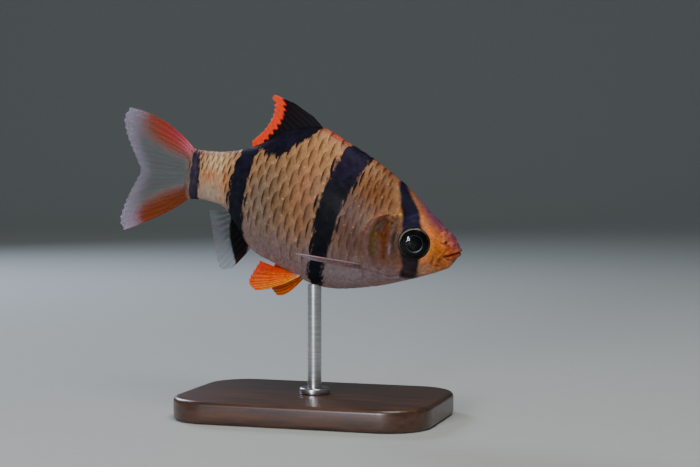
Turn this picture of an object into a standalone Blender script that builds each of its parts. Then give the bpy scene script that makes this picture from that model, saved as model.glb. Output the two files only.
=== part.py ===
"""A tiger barb at life size, held still in its pose on a plain display stand.

The fish is drawn straight first, in lengths from the snout to the root of the tail fin:
s runs along the spine from 0 at the snout to 1, y is to the fish's left and z is up.
place() then swings the straight fish into its pose, nose down with the tail turned to the
left, and sets it over the stand. The origin is the middle of the underside of the base.
"""

import math

import bmesh
import bpy
import numpy as np
from mathutils.bvhtree import BVHTree

MM = 0.001
GAP = 0.3 * MM
POLE = 0.02 * MM  # the radius at which a turned solid closes on its axis
FULL_TURN = 2 * math.pi

# The pose
LENGTH = 50 * MM
NOSE_DOWN = math.radians(15.3)
TAIL_TURN, TURN_FROM, TURN_TO = math.radians(31), 0.50, 0.98
FIN_LAG, LAG_FROM, LAG_TO = math.radians(13), 0.98, 1.14
TAIL_DROOP, DROOP_FROM, DROOP_TO = math.radians(13), 0.70, 1.08

# The display stand
BASE_LONG, BASE_WIDE, BASE_THICK = 42 * MM, 27 * MM, 3.6 * MM
BASE_CORNER, BASE_EDGE, CORNER_STEPS = 7 * MM, 0.7 * MM, 6
ROD_RADIUS, ROD_FOOT_RADIUS, ROD_FOOT_THICK = 1.1 * MM, 2.4 * MM, 1.0 * MM
ROD_FOOT_EDGE, ROD_FILLET, ROD_SIDES = 0.2 * MM, 0.6 * MM, 16
ROD_STATION = 0.43
BELLY_HEIGHT = 21 * MM

# The body's outlines, as (s, size) in lengths
BACK_LINE = [
    (0.0, 0.012), (0.03, 0.036), (0.088, 0.066), (0.146, 0.102), (0.213, 0.144), (0.275, 0.173),
    (0.346, 0.201), (0.443, 0.230), (0.530, 0.251), (0.60, 0.236), (0.66, 0.199), (0.757, 0.127),
    (0.80, 0.107), (0.884, 0.086), (0.964, 0.082), (1.03, 0.088),
]
BELLY_LINE = [
    (0.0, -0.030), (0.014, -0.052), (0.047, -0.079), (0.094, -0.109), (0.148, -0.140),
    (0.218, -0.177), (0.290, -0.208), (0.357, -0.230), (0.421, -0.238), (0.507, -0.225),
    (0.578, -0.210), (0.631, -0.202), (0.668, -0.189), (0.740, -0.135), (0.805, -0.092),
    (0.873, -0.084), (0.95, -0.083), (1.03, -0.087),
]
HALF_WIDTH = [
    (0.0, 0.022), (0.03, 0.036), (0.07, 0.055), (0.13, 0.074), (0.20, 0.083), (0.30, 0.088),
    (0.42, 0.088), (0.54, 0.080), (0.67, 0.060), (0.80, 0.038), (0.90, 0.026), (1.03, 0.014),
]
WIDEST_LEVEL = [
    (0.0, -0.004), (0.13, -0.015), (0.42, -0.020), (0.67, -0.005), (0.80, 0.006), (1.03, 0.0),
]
SNOUT_ROUND = 0.030
SNOUT_LEVEL = -0.004
BACK_POWER, BELLY_POWER = 1.85, 2.15

# Where the body is parted, and how many rings and sides it is drawn with
HEAD_END, TORSO_SPLIT, STALK_START, BODY_END = 0.278, 0.470, 0.810, 1.020
SNOUT_RINGS, HEAD_RINGS, FRONT_RINGS, REAR_RINGS, STALK_RINGS = 7, 14, 8, 13, 9
RING_SIDES = 36
OUTSIDE = 0.1  # further from the middle plane than any part of the body

# The mouth and the lower jaw, whose cut runs back from JAW_FRONT and down to JAW_FLOOR
MOUTH_CORNER, MOUTH_SLOPE = 0.032, -0.68
LIP_RADIUS, LIP_SINK, LIP_FRONT = 0.36 * MM, 0.10 * MM, 0.0035
LIP_POINTS, LIP_SIDES = 15, 8
JAW_FRONT, JAW_REAR, JAW_FLOOR = -0.03, 0.064, -0.13

# The nostrils: a pit in a low round rim
NOSTRIL_S, NOSTRIL_Z = 0.044, 0.016
NOSTRIL_RADIUS, NOSTRIL_DEPTH, NOSTRIL_SIDES = 0.32 * MM, 0.45 * MM, 10
RIM_RADIUS, RIM_THICK, RIM_SIDES, RIM_ROUND = 0.42 * MM, 0.15 * MM, 12, 6

# The eyes; the brow is the swelling round each, as (out, up) in mm from the eye's edge
EYE_S, EYE_Z, EYE_RADIUS = 0.132, -0.011, 2.5 * MM
EYE_DOME, EYE_DEPTH, PUPIL_RADIUS, LENS_BULGE = 0.55 * MM, 1.8 * MM, 1.35 * MM, 0.12 * MM
LENS_EDGE = 0.12 * MM
EYE_BROW = [(2.1, -1.45), (1.25, -0.48), (0.8, -0.13), (0.52, 0.0), (0.3, 0.0)]
BROW_DEPTH, SOCKET_HEIGHT = 2.0 * MM, 2.0 * MM
EYE_SIDES, SOCKET_SIDES = 24, 26
CUP_TURNS = [math.radians(turn) for turn in (0, 20, 40, 60, 80)]

# The gill covers: flaps that stand proud towards their free rear edge
GILL_MIDDLE = (0.236, -0.042)
GILL_OUTLINE = [
    (0.226, 0.050), (0.213, 0.024), (0.208, -0.018), (0.194, -0.062), (0.168, -0.098),
    (0.182, -0.122), (0.224, -0.120), (0.253, -0.094), (0.269, -0.052), (0.270, -0.010), (0.255, 0.030),
]
GILL_THICK, GILL_PROUD, GILL_FRONT_SHARE = 0.70 * MM, 0.28 * MM, 0.25
GILL_RISE = (0.20, 0.26)
GILL_SIDES, GILL_CLEARANCE = 28, 1.2 * MM

# Fins: thickness is half of the sheet's at a ray and between rays, at the root and at the tip
RAY_HALF, WEB_HALF = (0.50 * MM, 0.28 * MM), (0.36 * MM, 0.22 * MM)
WEB_NOTCH, FIN_SEAT = 0.05, 0.36 * MM
DORSAL_BASE, DORSAL_BOW, DORSAL_RAYS, DORSAL_ROWS = (0.536, 0.757), 0.02, 12, 7
DORSAL_TIPS = [
    (0.0, 0.575, 0.277), (0.09, 0.655, 0.302), (0.18, 0.733, 0.309), (0.30, 0.722, 0.284),
    (0.50, 0.715, 0.248), (0.75, 0.729, 0.195), (1.0, 0.764, 0.146),
]
ANAL_BASE, ANAL_BOW, ANAL_RAYS, ANAL_ROWS = (0.674, 0.800), -0.006, 9, 6
ANAL_TIPS = [
    (0.0, 0.722, -0.271), (0.14, 0.764, -0.286), (0.30, 0.790, -0.270), (0.55, 0.832, -0.210),
    (0.80, 0.868, -0.152), (1.0, 0.893, -0.108),
]
LOBE_RAYS, LOBE_ROWS = 10, 8
UPPER_LOBE_BOW, LOWER_LOBE_BOW = 0.027, -0.008
UPPER_LOBE_ROOT = (0.086, 0.003)
UPPER_LOBE_TIPS = [
    (0.0, 1.322, 0.219), (0.12, 1.342, 0.192), (0.35, 1.334, 0.140), (0.60, 1.307, 0.090),
    (0.80, 1.280, 0.050), (1.0, 1.252, 0.006),
]
LOWER_LOBE_ROOT = (-0.084, -0.003)
LOWER_LOBE_TIPS = [
    (0.0, 1.312, -0.205), (0.12, 1.331, -0.178), (0.35, 1.322, -0.128), (0.60, 1.300, -0.080),
    (0.80, 1.278, -0.042), (1.0, 1.252, 0.0),
]
PAIRED_RAYS, PAIRED_ROWS = 8, 6
PECTORAL_ROOT = [(0.287, -0.120), (0.293, -0.136)]
PECTORAL_TIPS = [
    (0.0, 0.455, 0.168, -0.132), (0.45, 0.476, 0.138, -0.140), (1.0, 0.430, 0.106, -0.148),
]
PELVIC_ROOT = [(0.480, -62), (0.508, -80)]
PELVIC_TIPS = [
    (0.0, 0.591, 0.080, -0.299), (0.45, 0.620, 0.070, -0.280), (1.0, 0.611, 0.045, -0.209),
]
PELVIC_BOW = 0.012
LEFT_PELVIC_DROP, LEFT_PELVIC_BACK, LEFT_PELVIC_BOW = 0.020, -0.016, 0.030


def ease(value, start, stop):
    """0 before start and 1 after stop, with a smooth rise between them."""
    share = np.clip((value - start) / (stop - start), 0, 1)
    return share * share * (3 - 2 * share)


def smooth_curve(points):
    """A function of the first number of each point that runs smoothly through the second."""
    xs, ys = np.array(points, float).T
    slopes = np.gradient(ys, xs)

    def at(x):
        x = np.clip(x, xs[0], xs[-1])
        i = np.clip(np.searchsorted(xs, x) - 1, 0, len(xs) - 2)
        span = xs[i + 1] - xs[i]
        t = (x - xs[i]) / span
        start = ys[i] * (1 + 2 * t) * (1 - t) ** 2 + slopes[i] * span * t * (1 - t) ** 2
        stop = ys[i + 1] * t * t * (3 - 2 * t) + slopes[i + 1] * span * t * t * (t - 1)
        return start + stop

    return at


def closed_curve(points, count):
    """Points spread round a smooth closed outline through the given ones."""
    points = np.array(points, float)
    turn = np.arange(count) * len(points) / count
    i = np.floor(turn).astype(int)
    t = (turn - i)[:, None]
    before, here, after, beyond = (points[(i + k) % len(points)] for k in (-1, 0, 1, 2))
    return 0.5 * (
        2 * here
        + (after - before) * t
        + (2 * before - 5 * here + 4 * after - beyond) * t**2
        + (3 * here - before - 3 * after + beyond) * t**3
    )


def spine_directions(s):
    """Unit vectors towards the tail, to the fish's left and up, at s along the bent spine."""
    turn = TAIL_TURN * ease(s, TURN_FROM, TURN_TO) - FIN_LAG * ease(s, LAG_FROM, LAG_TO)
    droop = TAIL_DROOP * ease(s, DROOP_FROM, DROOP_TO)
    tailwards = np.stack(
        [-np.cos(turn) * np.cos(droop), np.sin(turn) * np.cos(droop), -np.sin(droop)], -1
    )
    left = np.stack([np.sin(turn), np.cos(turn), np.zeros_like(turn)], -1)
    return tailwards, left, np.cross(left, tailwards)


def spine_points(stations):
    """The bent spine, with the snout at the origin."""
    tailwards = spine_directions(stations)[0]
    steps = (tailwards[1:] + tailwards[:-1]) / 2 * np.diff(stations)[:, None]
    points = np.concatenate([np.zeros((1, 3)), np.cumsum(steps, 0)])
    return points - [np.interp(0, stations, points[:, axis]) for axis in range(3)]


SPINE_S = np.linspace(-0.1, 1.5, 1601)
SPINE = spine_points(SPINE_S)
back_line, belly_line = smooth_curve(BACK_LINE), smooth_curve(BELLY_LINE)
half_width, widest_level = smooth_curve(HALF_WIDTH), smooth_curve(WIDEST_LEVEL)


def bent(s, y, z):
    """A point of the straight fish in its pose, with the snout at the origin, in metres."""
    s, y, z = np.broadcast_arrays(*(np.asarray(part, float) for part in (s, y, z)))
    _, left, up = spine_directions(s)
    middle = np.stack([np.interp(s, SPINE_S, SPINE[:, axis]) for axis in range(3)], -1)
    x, across, height = np.moveaxis((middle + y[..., None] * left + z[..., None] * up) * LENGTH, -1, 0)
    cos, sin = math.cos(NOSE_DOWN), math.sin(NOSE_DOWN)
    return np.stack([cos * x + sin * height, across, cos * height - sin * x], -1)


OVER_STAND = np.array([0, 0, BELLY_HEIGHT]) - bent(ROD_STATION, 0, belly_line(ROD_STATION))


def place(s, y, z):
    """A point of the straight fish, in its place over the stand."""
    return bent(s, y, z) + OVER_STAND


def section(s):
    """Top, bottom, half width and widest level of the body at s; it closes to a point at the snout."""
    rounding = np.sqrt(1 - (1 - np.clip(s / SNOUT_ROUND, 0, 1)) ** 2)
    top = SNOUT_LEVEL + (back_line(s) - SNOUT_LEVEL) * rounding
    bottom = SNOUT_LEVEL + (belly_line(s) - SNOUT_LEVEL) * rounding
    return top, bottom, half_width(s) * rounding, widest_level(s)


def skin_round(s, angle):
    """(y, z) of the skin at an angle round the section: 0 is the left side and 90 degrees the back."""
    top, bottom, half, level = section(s)
    cos, sin = np.cos(angle), np.sin(angle)
    power = np.where(sin > 0, BACK_POWER, BELLY_POWER)
    reach = np.where(sin > 0, top - level, level - bottom)
    y = half * np.sign(cos) * np.abs(cos) ** (2 / power)
    return y, level + reach * np.sign(sin) * np.abs(sin) ** (2 / power)


def skin_y(s, z):
    """How far the skin lies from the middle plane at height z."""
    top, bottom, half, level = section(s)
    above = z > level
    reach = np.where(above, top - level, level - bottom)
    power = np.where(above, BACK_POWER, BELLY_POWER)
    share = np.clip(np.abs(z - level) / np.maximum(reach, 1e-6), 0, 0.999)
    return half * (1 - share**power) ** (1 / power)


def over_skin(s, z, side, lift):
    """A straight-fish point on one side, +1 left or -1 right, lifted off the skin along its normal."""
    step, raised = 1e-3, lift / LENGTH
    along = (skin_y(s + step, z) - skin_y(s - step, z)) / (2 * step)
    upward = (skin_y(s, z + step) - skin_y(s, z - step)) / (2 * step)
    size = np.sqrt(1 + along**2 + upward**2)
    return s - along / size * raised, side * (skin_y(s, z) + raised / size), z - upward / size * raised


def under_skin(s, angle, side, lift):
    """As over_skin, with the point given by its angle round the section."""
    step, raised = 1e-3, lift / LENGTH
    (y, z), (y_next, z_next) = skin_round(s, angle), skin_round(s, angle + step)
    size = np.hypot(y_next - y, z_next - z)
    return s, side * (y + (z_next - z) / size * raised), z - (y_next - y) / size * raised


def material(name, colour, roughness):
    """A plain finish from a colour written as six hexadecimal digits."""
    made = bpy.data.materials.new(name)
    made.use_nodes = True
    linear = [((int(colour[i : i + 2], 16) / 255 + 0.055) / 1.055) ** 2.4 for i in (0, 2, 4)]
    shader = made.node_tree.nodes["Principled BSDF"]
    shader.inputs["Base Color"].default_value = (*linear, 1)
    shader.inputs["Roughness"].default_value = roughness
    return made


def solid(name, points, faces, finish=None):
    """One closed mesh object with its faces turned outwards."""
    mesh = bpy.data.meshes.new(name)
    mesh.from_pydata([tuple(point) for point in points], [], faces)
    shape = bmesh.new()
    shape.from_mesh(mesh)
    bmesh.ops.recalc_face_normals(shape, faces=shape.faces)
    shape.to_mesh(mesh)
    shape.free()
    obj = bpy.data.objects.new(name, mesh)
    bpy.context.scene.collection.objects.link(obj)
    if finish:
        mesh.materials.append(finish)
    return obj


def loft(name, rings, finish=None):
    """A closed solid through rings of equally many points, each end closed about its middle."""
    rings = np.array(rings)
    count, sides = rings.shape[:2]
    points = np.concatenate([rings.reshape(-1, 3), [rings[0].mean(0), rings[-1].mean(0)]])
    faces = []
    for side in range(sides):
        beside = (side + 1) % sides
        for ring in range(count - 1):
            here, there = ring * sides, (ring + 1) * sides
            faces.append((here + side, here + beside, there + beside, there + side))
        faces.append((count * sides, beside, side))
        last = (count - 1) * sides
        faces.append((count * sides + 1, last + side, last + beside))
    return solid(name, points, faces, finish)


def axes_about(axis):
    """The unit vector along an axis and two more, square to it and to each other."""
    axis = np.array(axis, float) / np.linalg.norm(axis)
    across = np.cross(axis, [0, 0, 1] if abs(axis[2]) < 0.9 else [1, 0, 0])
    across /= np.linalg.norm(across)
    return axis, across, np.cross(axis, across)


def spokes_about(axis, sides):
    """The unit vector along an axis and one more for each side of a ring about it."""
    axis, across, over = axes_about(axis)
    angles = np.arange(sides) * FULL_TURN / sides
    return axis, np.cos(angles)[:, None] * across + np.sin(angles)[:, None] * over


def turned(name, profile, centre, axis, sides, finish=None):
    """A solid turned about an axis from (radius, height) points; the first and last close on it."""
    axis, spokes = spokes_about(axis, sides)
    return loft(name, [centre + radius * spokes + height * axis for radius, height in profile], finish)


def hoop(name, centre, axis, radius, thick, sides, round_sides):
    """A closed round ring of round section."""
    axis, spokes = spokes_about(axis, sides)
    points, faces = [], []
    for i, spoke in enumerate(spokes):
        here, there = i * round_sides, (i + 1) % sides * round_sides
        for j in range(round_sides):
            turn = FULL_TURN * j / round_sides
            reach = radius + thick * math.cos(turn)
            points.append(centre + reach * spoke + thick * math.sin(turn) * axis)
            beside = (j + 1) % round_sides
            faces.append((here + j, there + j, there + beside, here + beside))
    return solid(name, points, faces)


def tube(name, path, radii, sides):
    """A tube along a path of points, with its own radius at each."""
    headings = np.gradient(np.array(path), axis=0)
    rings = [
        point + radius * spokes_about(heading, sides)[1]
        for point, heading, radius in zip(path, headings, radii)
    ]
    return loft(name, rings)


def prism(name, outline, half):
    """A side-view outline of the straight fish carried across it from right to left."""
    outline = np.array(outline)
    return loft(name, [place(outline[:, 0], side * half, outline[:, 1]) for side in (-1, 1)])


def sheet(name, middle, half, finish):
    """A thin fin about a grid of middle points, split into triangles alike on both faces."""
    rows, columns = middle.shape[:2]
    normal = np.cross(np.gradient(middle, axis=0), np.gradient(middle, axis=1))
    normal /= np.linalg.norm(normal, axis=-1, keepdims=True)
    faces_apart = [middle + normal * half[..., None], middle - normal * half[..., None]]
    points = np.concatenate([face.reshape(-1, 3) for face in faces_apart])
    index = np.arange(rows * columns).reshape(rows, columns)
    under = rows * columns
    faces = []
    for corner in index[:-1, :-1].ravel():
        beside, above = corner + 1, corner + columns
        for corners in ((corner, beside, above + 1), (corner, above + 1, above)):
            faces.append(corners)
            faces.append(tuple(under + point for point in reversed(corners)))
    edge = [*index[0, :-1], *index[:-1, -1], *index[-1, :0:-1], *index[:0:-1, 0]]
    for here, there in zip(edge, edge[1:] + edge[:1]):
        faces.append((here, there, there + under))
        faces.append((here, there + under, here + under))
    return solid(name, points, [tuple(int(point) for point in face) for face in faces], finish)


def rayed_fin(name, ray, rays, rows, finish):
    """A fin whose ray(u) gives the root, tip and bow of the ray at u from 0 to 1 across the fin.

    Every second column is a ray, raised as a ridge; the web between rays ends a little short of them.
    """
    columns = 2 * rays - 1
    is_web = np.arange(columns) % 2
    out = np.linspace(0, 1, rows)[:, None] * (1 - WEB_NOTCH * is_web)
    lines = [ray(u) for u in np.linspace(0, 1, columns)]
    root, tip, bow = (np.array([line[k] for line in lines]) for k in range(3))
    straight = root + out[..., None] * (tip - root)
    line = straight + bow * (4 * out * (1 - out))[..., None]
    ridge = RAY_HALF[0] + (RAY_HALF[1] - RAY_HALF[0]) * out
    web = WEB_HALF[0] + (WEB_HALF[1] - WEB_HALF[0]) * out
    middle = place(line[..., 0], line[..., 1], line[..., 2])
    return sheet(name, middle, np.where(is_web, web, ridge), finish)


def boolean(obj, operation, others):
    """Applies one Boolean with a collection of closed meshes, which are then removed."""
    group = bpy.data.collections.new("joined")
    for other in others:
        bpy.context.scene.collection.objects.unlink(other)
        group.objects.link(other)
    bpy.context.scene.collection.children.link(group)
    change = obj.modifiers.new(operation.lower(), "BOOLEAN")
    change.operation = operation
    change.operand_type = "COLLECTION"
    change.collection = group
    change.solver = "EXACT"
    apply_modifiers(obj)
    for other in others:
        bpy.data.objects.remove(other)
    bpy.data.collections.remove(group)


def apply_modifiers(obj):
    """Puts the mesh that the modifiers give in the place of the object's own."""
    bpy.context.view_layer.update()
    graph = bpy.context.evaluated_depsgraph_get()
    made = bpy.data.meshes.new_from_object(obj.evaluated_get(graph))
    obj.modifiers.clear()
    obj.data = made


def keep_largest(obj):
    """Keeps the largest closed surface of a mesh and drops the rest."""
    shape = bmesh.new()
    shape.from_mesh(obj.data)
    left = set(shape.verts)
    surfaces = []
    while left:
        found, edge = set(), [left.pop()]
        while edge:
            vertex = edge.pop()
            found.add(vertex)
            for link in vertex.link_edges:
                other = link.other_vert(vertex)
                if other in left:
                    left.remove(other)
                    edge.append(other)
        surfaces.append(found)
    largest = max(surfaces, key=len)
    bmesh.ops.delete(shape, geom=[v for v in shape.verts if v not in largest], context="VERTS")
    shape.to_mesh(obj.data)
    shape.free()


def body_length(name, stations, finish=None):
    """A length of the body through rings at the given stations."""
    angles = np.arange(RING_SIDES) * FULL_TURN / RING_SIDES
    return loft(name, [place(s, *skin_round(s, angles)) for s in stations], finish)


def over_skin_frame(s, z, side):
    """The point on the skin and its outward normal, in place."""
    foot = place(*over_skin(s, z, side, 0.0))
    axis = place(*over_skin(s, z, side, 1 * MM)) - foot
    return foot, axis / np.linalg.norm(axis)


def cup_profile(grown):
    """Half outline of the eye's cup from its edge to its back; grown makes room round it."""
    radius, depth = EYE_RADIUS + grown, EYE_DEPTH + grown
    return [(radius * math.cos(turn), -depth * math.sin(turn)) for turn in CUP_TURNS]


def eye_profile():
    """Half outline of the eyeball from its front pole to its back: a low dome over a deeper cup."""
    lens = [POLE, PUPIL_RADIUS / 2, PUPIL_RADIUS]
    ring = [PUPIL_RADIUS + LENS_EDGE, 0.8 * EYE_RADIUS, 0.96 * EYE_RADIUS]
    dome = []
    for radius in lens + ring:
        height = EYE_DOME * math.sqrt(1 - (radius / EYE_RADIUS) ** 2)
        dome.append((radius, height + (LENS_BULGE if radius in lens else 0)))
    return dome + cup_profile(0)


def brow_profile():
    """Half outline of the low swelling round the eye, from deep in the head up to the eye's edge."""
    slope = [(EYE_RADIUS + out * MM, up * MM) for out, up in EYE_BROW]
    return [(POLE, -BROW_DEPTH), (slope[0][0], -0.9 * BROW_DEPTH), *slope, (POLE, 0.0)]


def socket_profile():
    """Half outline of the hole that takes the eyeball, open well past the skin."""
    return [(POLE, SOCKET_HEIGHT), (EYE_RADIUS + GAP, SOCKET_HEIGHT), *cup_profile(GAP)]


def nostril_profile():
    """Half outline of the nostril's pit, from over the skin to its bottom."""
    return [
        (POLE, NOSTRIL_DEPTH), (NOSTRIL_RADIUS, NOSTRIL_DEPTH),
        (NOSTRIL_RADIUS, -0.7 * NOSTRIL_DEPTH), (POLE, -NOSTRIL_DEPTH),
    ]


def mouth_level(s):
    """Height of the line of the mouth, which slants down from the snout."""
    return SNOUT_LEVEL + MOUTH_SLOPE * s


def lip(name, drop, corner):
    """A round lip along the mouth from one corner round the snout to the other, drop below its line."""
    turns = np.linspace(-1, 1, LIP_POINTS)
    s = LIP_FRONT + (corner - LIP_FRONT) * turns**2
    side = np.where(turns < 0, -1, 1)
    path = place(*over_skin(s, mouth_level(s) - drop / LENGTH, side, -LIP_SINK))
    radii = LIP_RADIUS * np.sqrt(1 - 0.88 * turns**2)
    return tube(name, path, radii, LIP_SIDES)


def jaw_outline(grown):
    """Side view of what belongs to the lower jaw; grown makes room round it."""
    share = grown / LENGTH
    drop = GAP / LENGTH - share
    corner = MOUTH_CORNER + share
    return [
        (JAW_FRONT, mouth_level(JAW_FRONT) - drop),
        (corner, mouth_level(corner) - drop),
        (JAW_REAR + share, JAW_FLOOR),
        (JAW_FRONT, JAW_FLOOR),
    ]


def widened(outline, amount):
    """A closed outline moved outwards along its own normals."""
    along = np.roll(outline, -1, 0) - np.roll(outline, 1, 0)
    outward = np.stack([along[:, 1], -along[:, 0]], -1) / np.linalg.norm(along, axis=1, keepdims=True)
    turning = np.cross(outline - outline.mean(0), along).sum()
    return outline + np.sign(turning) * amount * outward


def gill_patch(name, side, grown, depth, proud, finish=None):
    """A curved plate over the gills between two lifts off the skin, larger all round by grown."""
    outline = widened(closed_curve(GILL_OUTLINE, GILL_SIDES), grown / LENGTH) - GILL_MIDDLE
    outer = [(share, proud) for share in (0.02, 0.5, 0.85, 1)]
    inner = [(share, -depth) for share in (1, 0.5, 0.02)]
    rings = []
    for share, lift in outer + inner:
        s, z = (np.array(GILL_MIDDLE) + share * outline).T
        if lift > 0:
            lift = proud * (GILL_FRONT_SHARE + (1 - GILL_FRONT_SHARE) * ease(s, *GILL_RISE))
        rings.append(place(*over_skin(s, z, side, lift)))
    return loft(name, rings, finish)


def make_head(flesh, orange, eye):
    """The head and the lower jaw, with the eyes and gill covers set into the head."""
    snout = SNOUT_ROUND * (1 - np.cos(np.linspace(0.12, math.pi / 2, SNOUT_RINGS)))
    behind = np.linspace(1.4 * SNOUT_ROUND, HEAD_END - GAP / 2 / LENGTH, HEAD_RINGS)
    stations = [*snout, *behind]
    head = body_length("head", stations, orange)
    jaw = body_length("lower_jaw", stations, orange)
    boolean(jaw, "INTERSECT", [prism("jaw_shape", jaw_outline(0), OUTSIDE)])
    boolean(jaw, "UNION", [lip("lower_lip", GAP + LIP_RADIUS, MOUTH_CORNER - GAP / LENGTH)])
    keep_largest(jaw)
    raised = [lip("upper_lip", -LIP_RADIUS, MOUTH_CORNER)]
    sunk = [prism("mouth", jaw_outline(GAP), OUTSIDE)]
    for side, word in ((-1, "right"), (1, "left")):
        foot, axis = over_skin_frame(EYE_S, EYE_Z, side)
        turned(f"eye_{word}", eye_profile(), foot, axis, EYE_SIDES, eye)
        raised.append(turned(f"brow_{word}", brow_profile(), foot, axis, SOCKET_SIDES))
        sunk.append(turned(f"socket_{word}", socket_profile(), foot, axis, SOCKET_SIDES))
        nostril, out = over_skin_frame(NOSTRIL_S, NOSTRIL_Z, side)
        raised.append(hoop(f"rim_{word}", nostril, out, RIM_RADIUS, RIM_THICK, RIM_SIDES, RIM_ROUND))
        sunk.append(turned(f"nostril_{word}", nostril_profile(), nostril, out, NOSTRIL_SIDES))
        sunk.append(gill_patch(f"recess_{word}", side, GAP, GILL_THICK + GAP, GILL_CLEARANCE))
        gill_patch(f"gill_cover_{word}", side, 0, GILL_THICK, GILL_PROUD, flesh)
    boolean(head, "UNION", raised)
    boolean(head, "DIFFERENCE", sunk)
    keep_largest(head)


def make_trunk(flesh):
    """The body behind the head in three lengths, half a gap short of each cut."""
    half_gap = GAP / 2 / LENGTH
    lengths = (
        ("torso_front", HEAD_END, TORSO_SPLIT, FRONT_RINGS),
        ("torso_rear", TORSO_SPLIT, STALK_START, REAR_RINGS),
        ("tail_stalk", STALK_START, BODY_END, STALK_RINGS),
    )
    for name, start, stop, rings in lengths:
        body_length(name, np.linspace(start + half_gap, stop - half_gap, rings), flesh)


def tip_curves(rows):
    """One smooth curve for each place coordinate of a fin's tips, across the fin."""
    return [smooth_curve([(row[0], row[axis]) for row in rows]) for axis in range(1, len(rows[0]))]


def between(ends, u):
    """The number, or point, at u from 0 to 1 between two."""
    first, last = np.array(ends, float)
    return first + u * (last - first)


def make_median_fins(red, clear):
    """The dorsal and anal fins, in the middle plane."""
    dorsal_s, dorsal_z = tip_curves(DORSAL_TIPS)
    anal_s, anal_z = tip_curves(ANAL_TIPS)

    def dorsal_ray(u):
        s = between(DORSAL_BASE, u)
        root = (s, 0, back_line(s) + FIN_SEAT / LENGTH)
        tip = (dorsal_s(u), 0, dorsal_z(u))
        return root, tip, (0, 0, DORSAL_BOW * math.dist(root, tip))

    def anal_ray(u):
        s = between(ANAL_BASE, u)
        root = (s, 0, belly_line(s) - FIN_SEAT / LENGTH)
        return root, (anal_s(u), 0, anal_z(u)), (0, 0, ANAL_BOW)

    rayed_fin("dorsal_fin", dorsal_ray, DORSAL_RAYS, DORSAL_ROWS, red)
    rayed_fin("anal_fin", anal_ray, ANAL_RAYS, ANAL_ROWS, clear)


def make_tail_fin(red):
    """The two lobes of the tail fin, each bowed most along its outer ray."""
    lobes = (
        ("tail_fin_upper", UPPER_LOBE_ROOT, UPPER_LOBE_TIPS, UPPER_LOBE_BOW),
        ("tail_fin_lower", LOWER_LOBE_ROOT, LOWER_LOBE_TIPS, LOWER_LOBE_BOW),
    )
    root_s = BODY_END + (FIN_SEAT - GAP / 2) / LENGTH
    for name, roots, tips, bow in lobes:
        tip_s, tip_z = tip_curves(tips)

        def ray(u, roots=roots, tip_s=tip_s, tip_z=tip_z, bow=bow):
            root = (root_s, 0, between(roots, u))
            return root, (tip_s(u), 0, tip_z(u)), (0, 0, bow * (1 - u) ** 1.5)

        rayed_fin(name, ray, LOBE_RAYS, LOBE_ROWS, red)


def make_paired_fins(red, clear):
    """The pectoral and pelvic fins; the left pelvic hangs lower and further forward than the right."""
    lift = FIN_SEAT + RAY_HALF[0]
    pectoral_s, pectoral_y, pectoral_z = tip_curves(PECTORAL_TIPS)
    pelvic_s, pelvic_y, pelvic_z = tip_curves(PELVIC_TIPS)
    for side, word in ((-1, "right"), (1, "left")):
        is_left = side > 0
        drop, back = (LEFT_PELVIC_DROP, LEFT_PELVIC_BACK) if is_left else (0, 0)
        bow = LEFT_PELVIC_BOW if is_left else PELVIC_BOW

        def pectoral_ray(u, side=side):
            root = over_skin(*between(PECTORAL_ROOT, u), side, lift)
            return root, (pectoral_s(u), side * pectoral_y(u), pectoral_z(u)), (0, 0, 0)

        def pelvic_ray(u, side=side, drop=drop, back=back, bow=bow):
            s, degrees = between(PELVIC_ROOT, u)
            root = under_skin(s, math.radians(degrees), side, lift)
            tip = (pelvic_s(u) + back, side * pelvic_y(u), pelvic_z(u) - drop * (1 - u))
            return root, tip, (0, 0, -bow * (1 - u))

        rayed_fin(f"pectoral_fin_{word}", pectoral_ray, PAIRED_RAYS, PAIRED_ROWS, clear)
        rayed_fin(f"pelvic_fin_{word}", pelvic_ray, PAIRED_RAYS, PAIRED_ROWS, red)


def rounded_rectangle(inset, height):
    """Outline of the display base, drawn in by inset, at a height."""
    corner = BASE_CORNER - inset
    points = []
    for quarter, (x_sign, y_sign) in enumerate(((1, 1), (-1, 1), (-1, -1), (1, -1))):
        for step in range(CORNER_STEPS + 1):
            angle = math.pi / 2 * (quarter + step / CORNER_STEPS)
            x = x_sign * (BASE_LONG / 2 - BASE_CORNER) + corner * math.cos(angle)
            y = y_sign * (BASE_WIDE / 2 - BASE_CORNER) + corner * math.sin(angle)
            points.append((x, y, height))
    return points


def make_stand(wood, steel):
    """The flat base, and the rod whose foot stands on it and whose top is cut to the belly's shape."""
    half_edge = BASE_EDGE / 2
    base_levels = (
        (half_edge, 0), (0, half_edge), (0, BASE_THICK - BASE_EDGE), (BASE_EDGE, BASE_THICK),
    )
    loft("stand_base", [rounded_rectangle(inset, height) for inset, height in base_levels], wood)

    foot = BASE_THICK + GAP
    turned_levels = (
        (ROD_FOOT_RADIUS - ROD_FOOT_EDGE, 0), (ROD_FOOT_RADIUS, ROD_FOOT_EDGE),
        (ROD_FOOT_RADIUS, ROD_FOOT_THICK), (ROD_RADIUS + ROD_FILLET / 2, ROD_FOOT_THICK + ROD_FILLET / 2),
        (ROD_RADIUS, ROD_FOOT_THICK + 1.5 * ROD_FILLET),
    )
    up, spokes = spokes_about((0, 0, 1), ROD_SIDES)
    rings = [radius * spokes + (foot + height) * up for radius, height in turned_levels]
    belly = BVHTree.FromObject(bpy.data.objects["torso_front"], bpy.context.evaluated_depsgraph_get())
    for radius in (ROD_RADIUS, ROD_RADIUS / 2, POLE):
        ring = radius * spokes + foot * up
        for point in ring:
            hit, normal, _, _ = belly.ray_cast(tuple(point), (0, 0, 1))
            point[2] = hit.z - GAP / abs(normal.z)
        rings.append(ring)
    loft("stand_rod", rings, steel)


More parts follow.
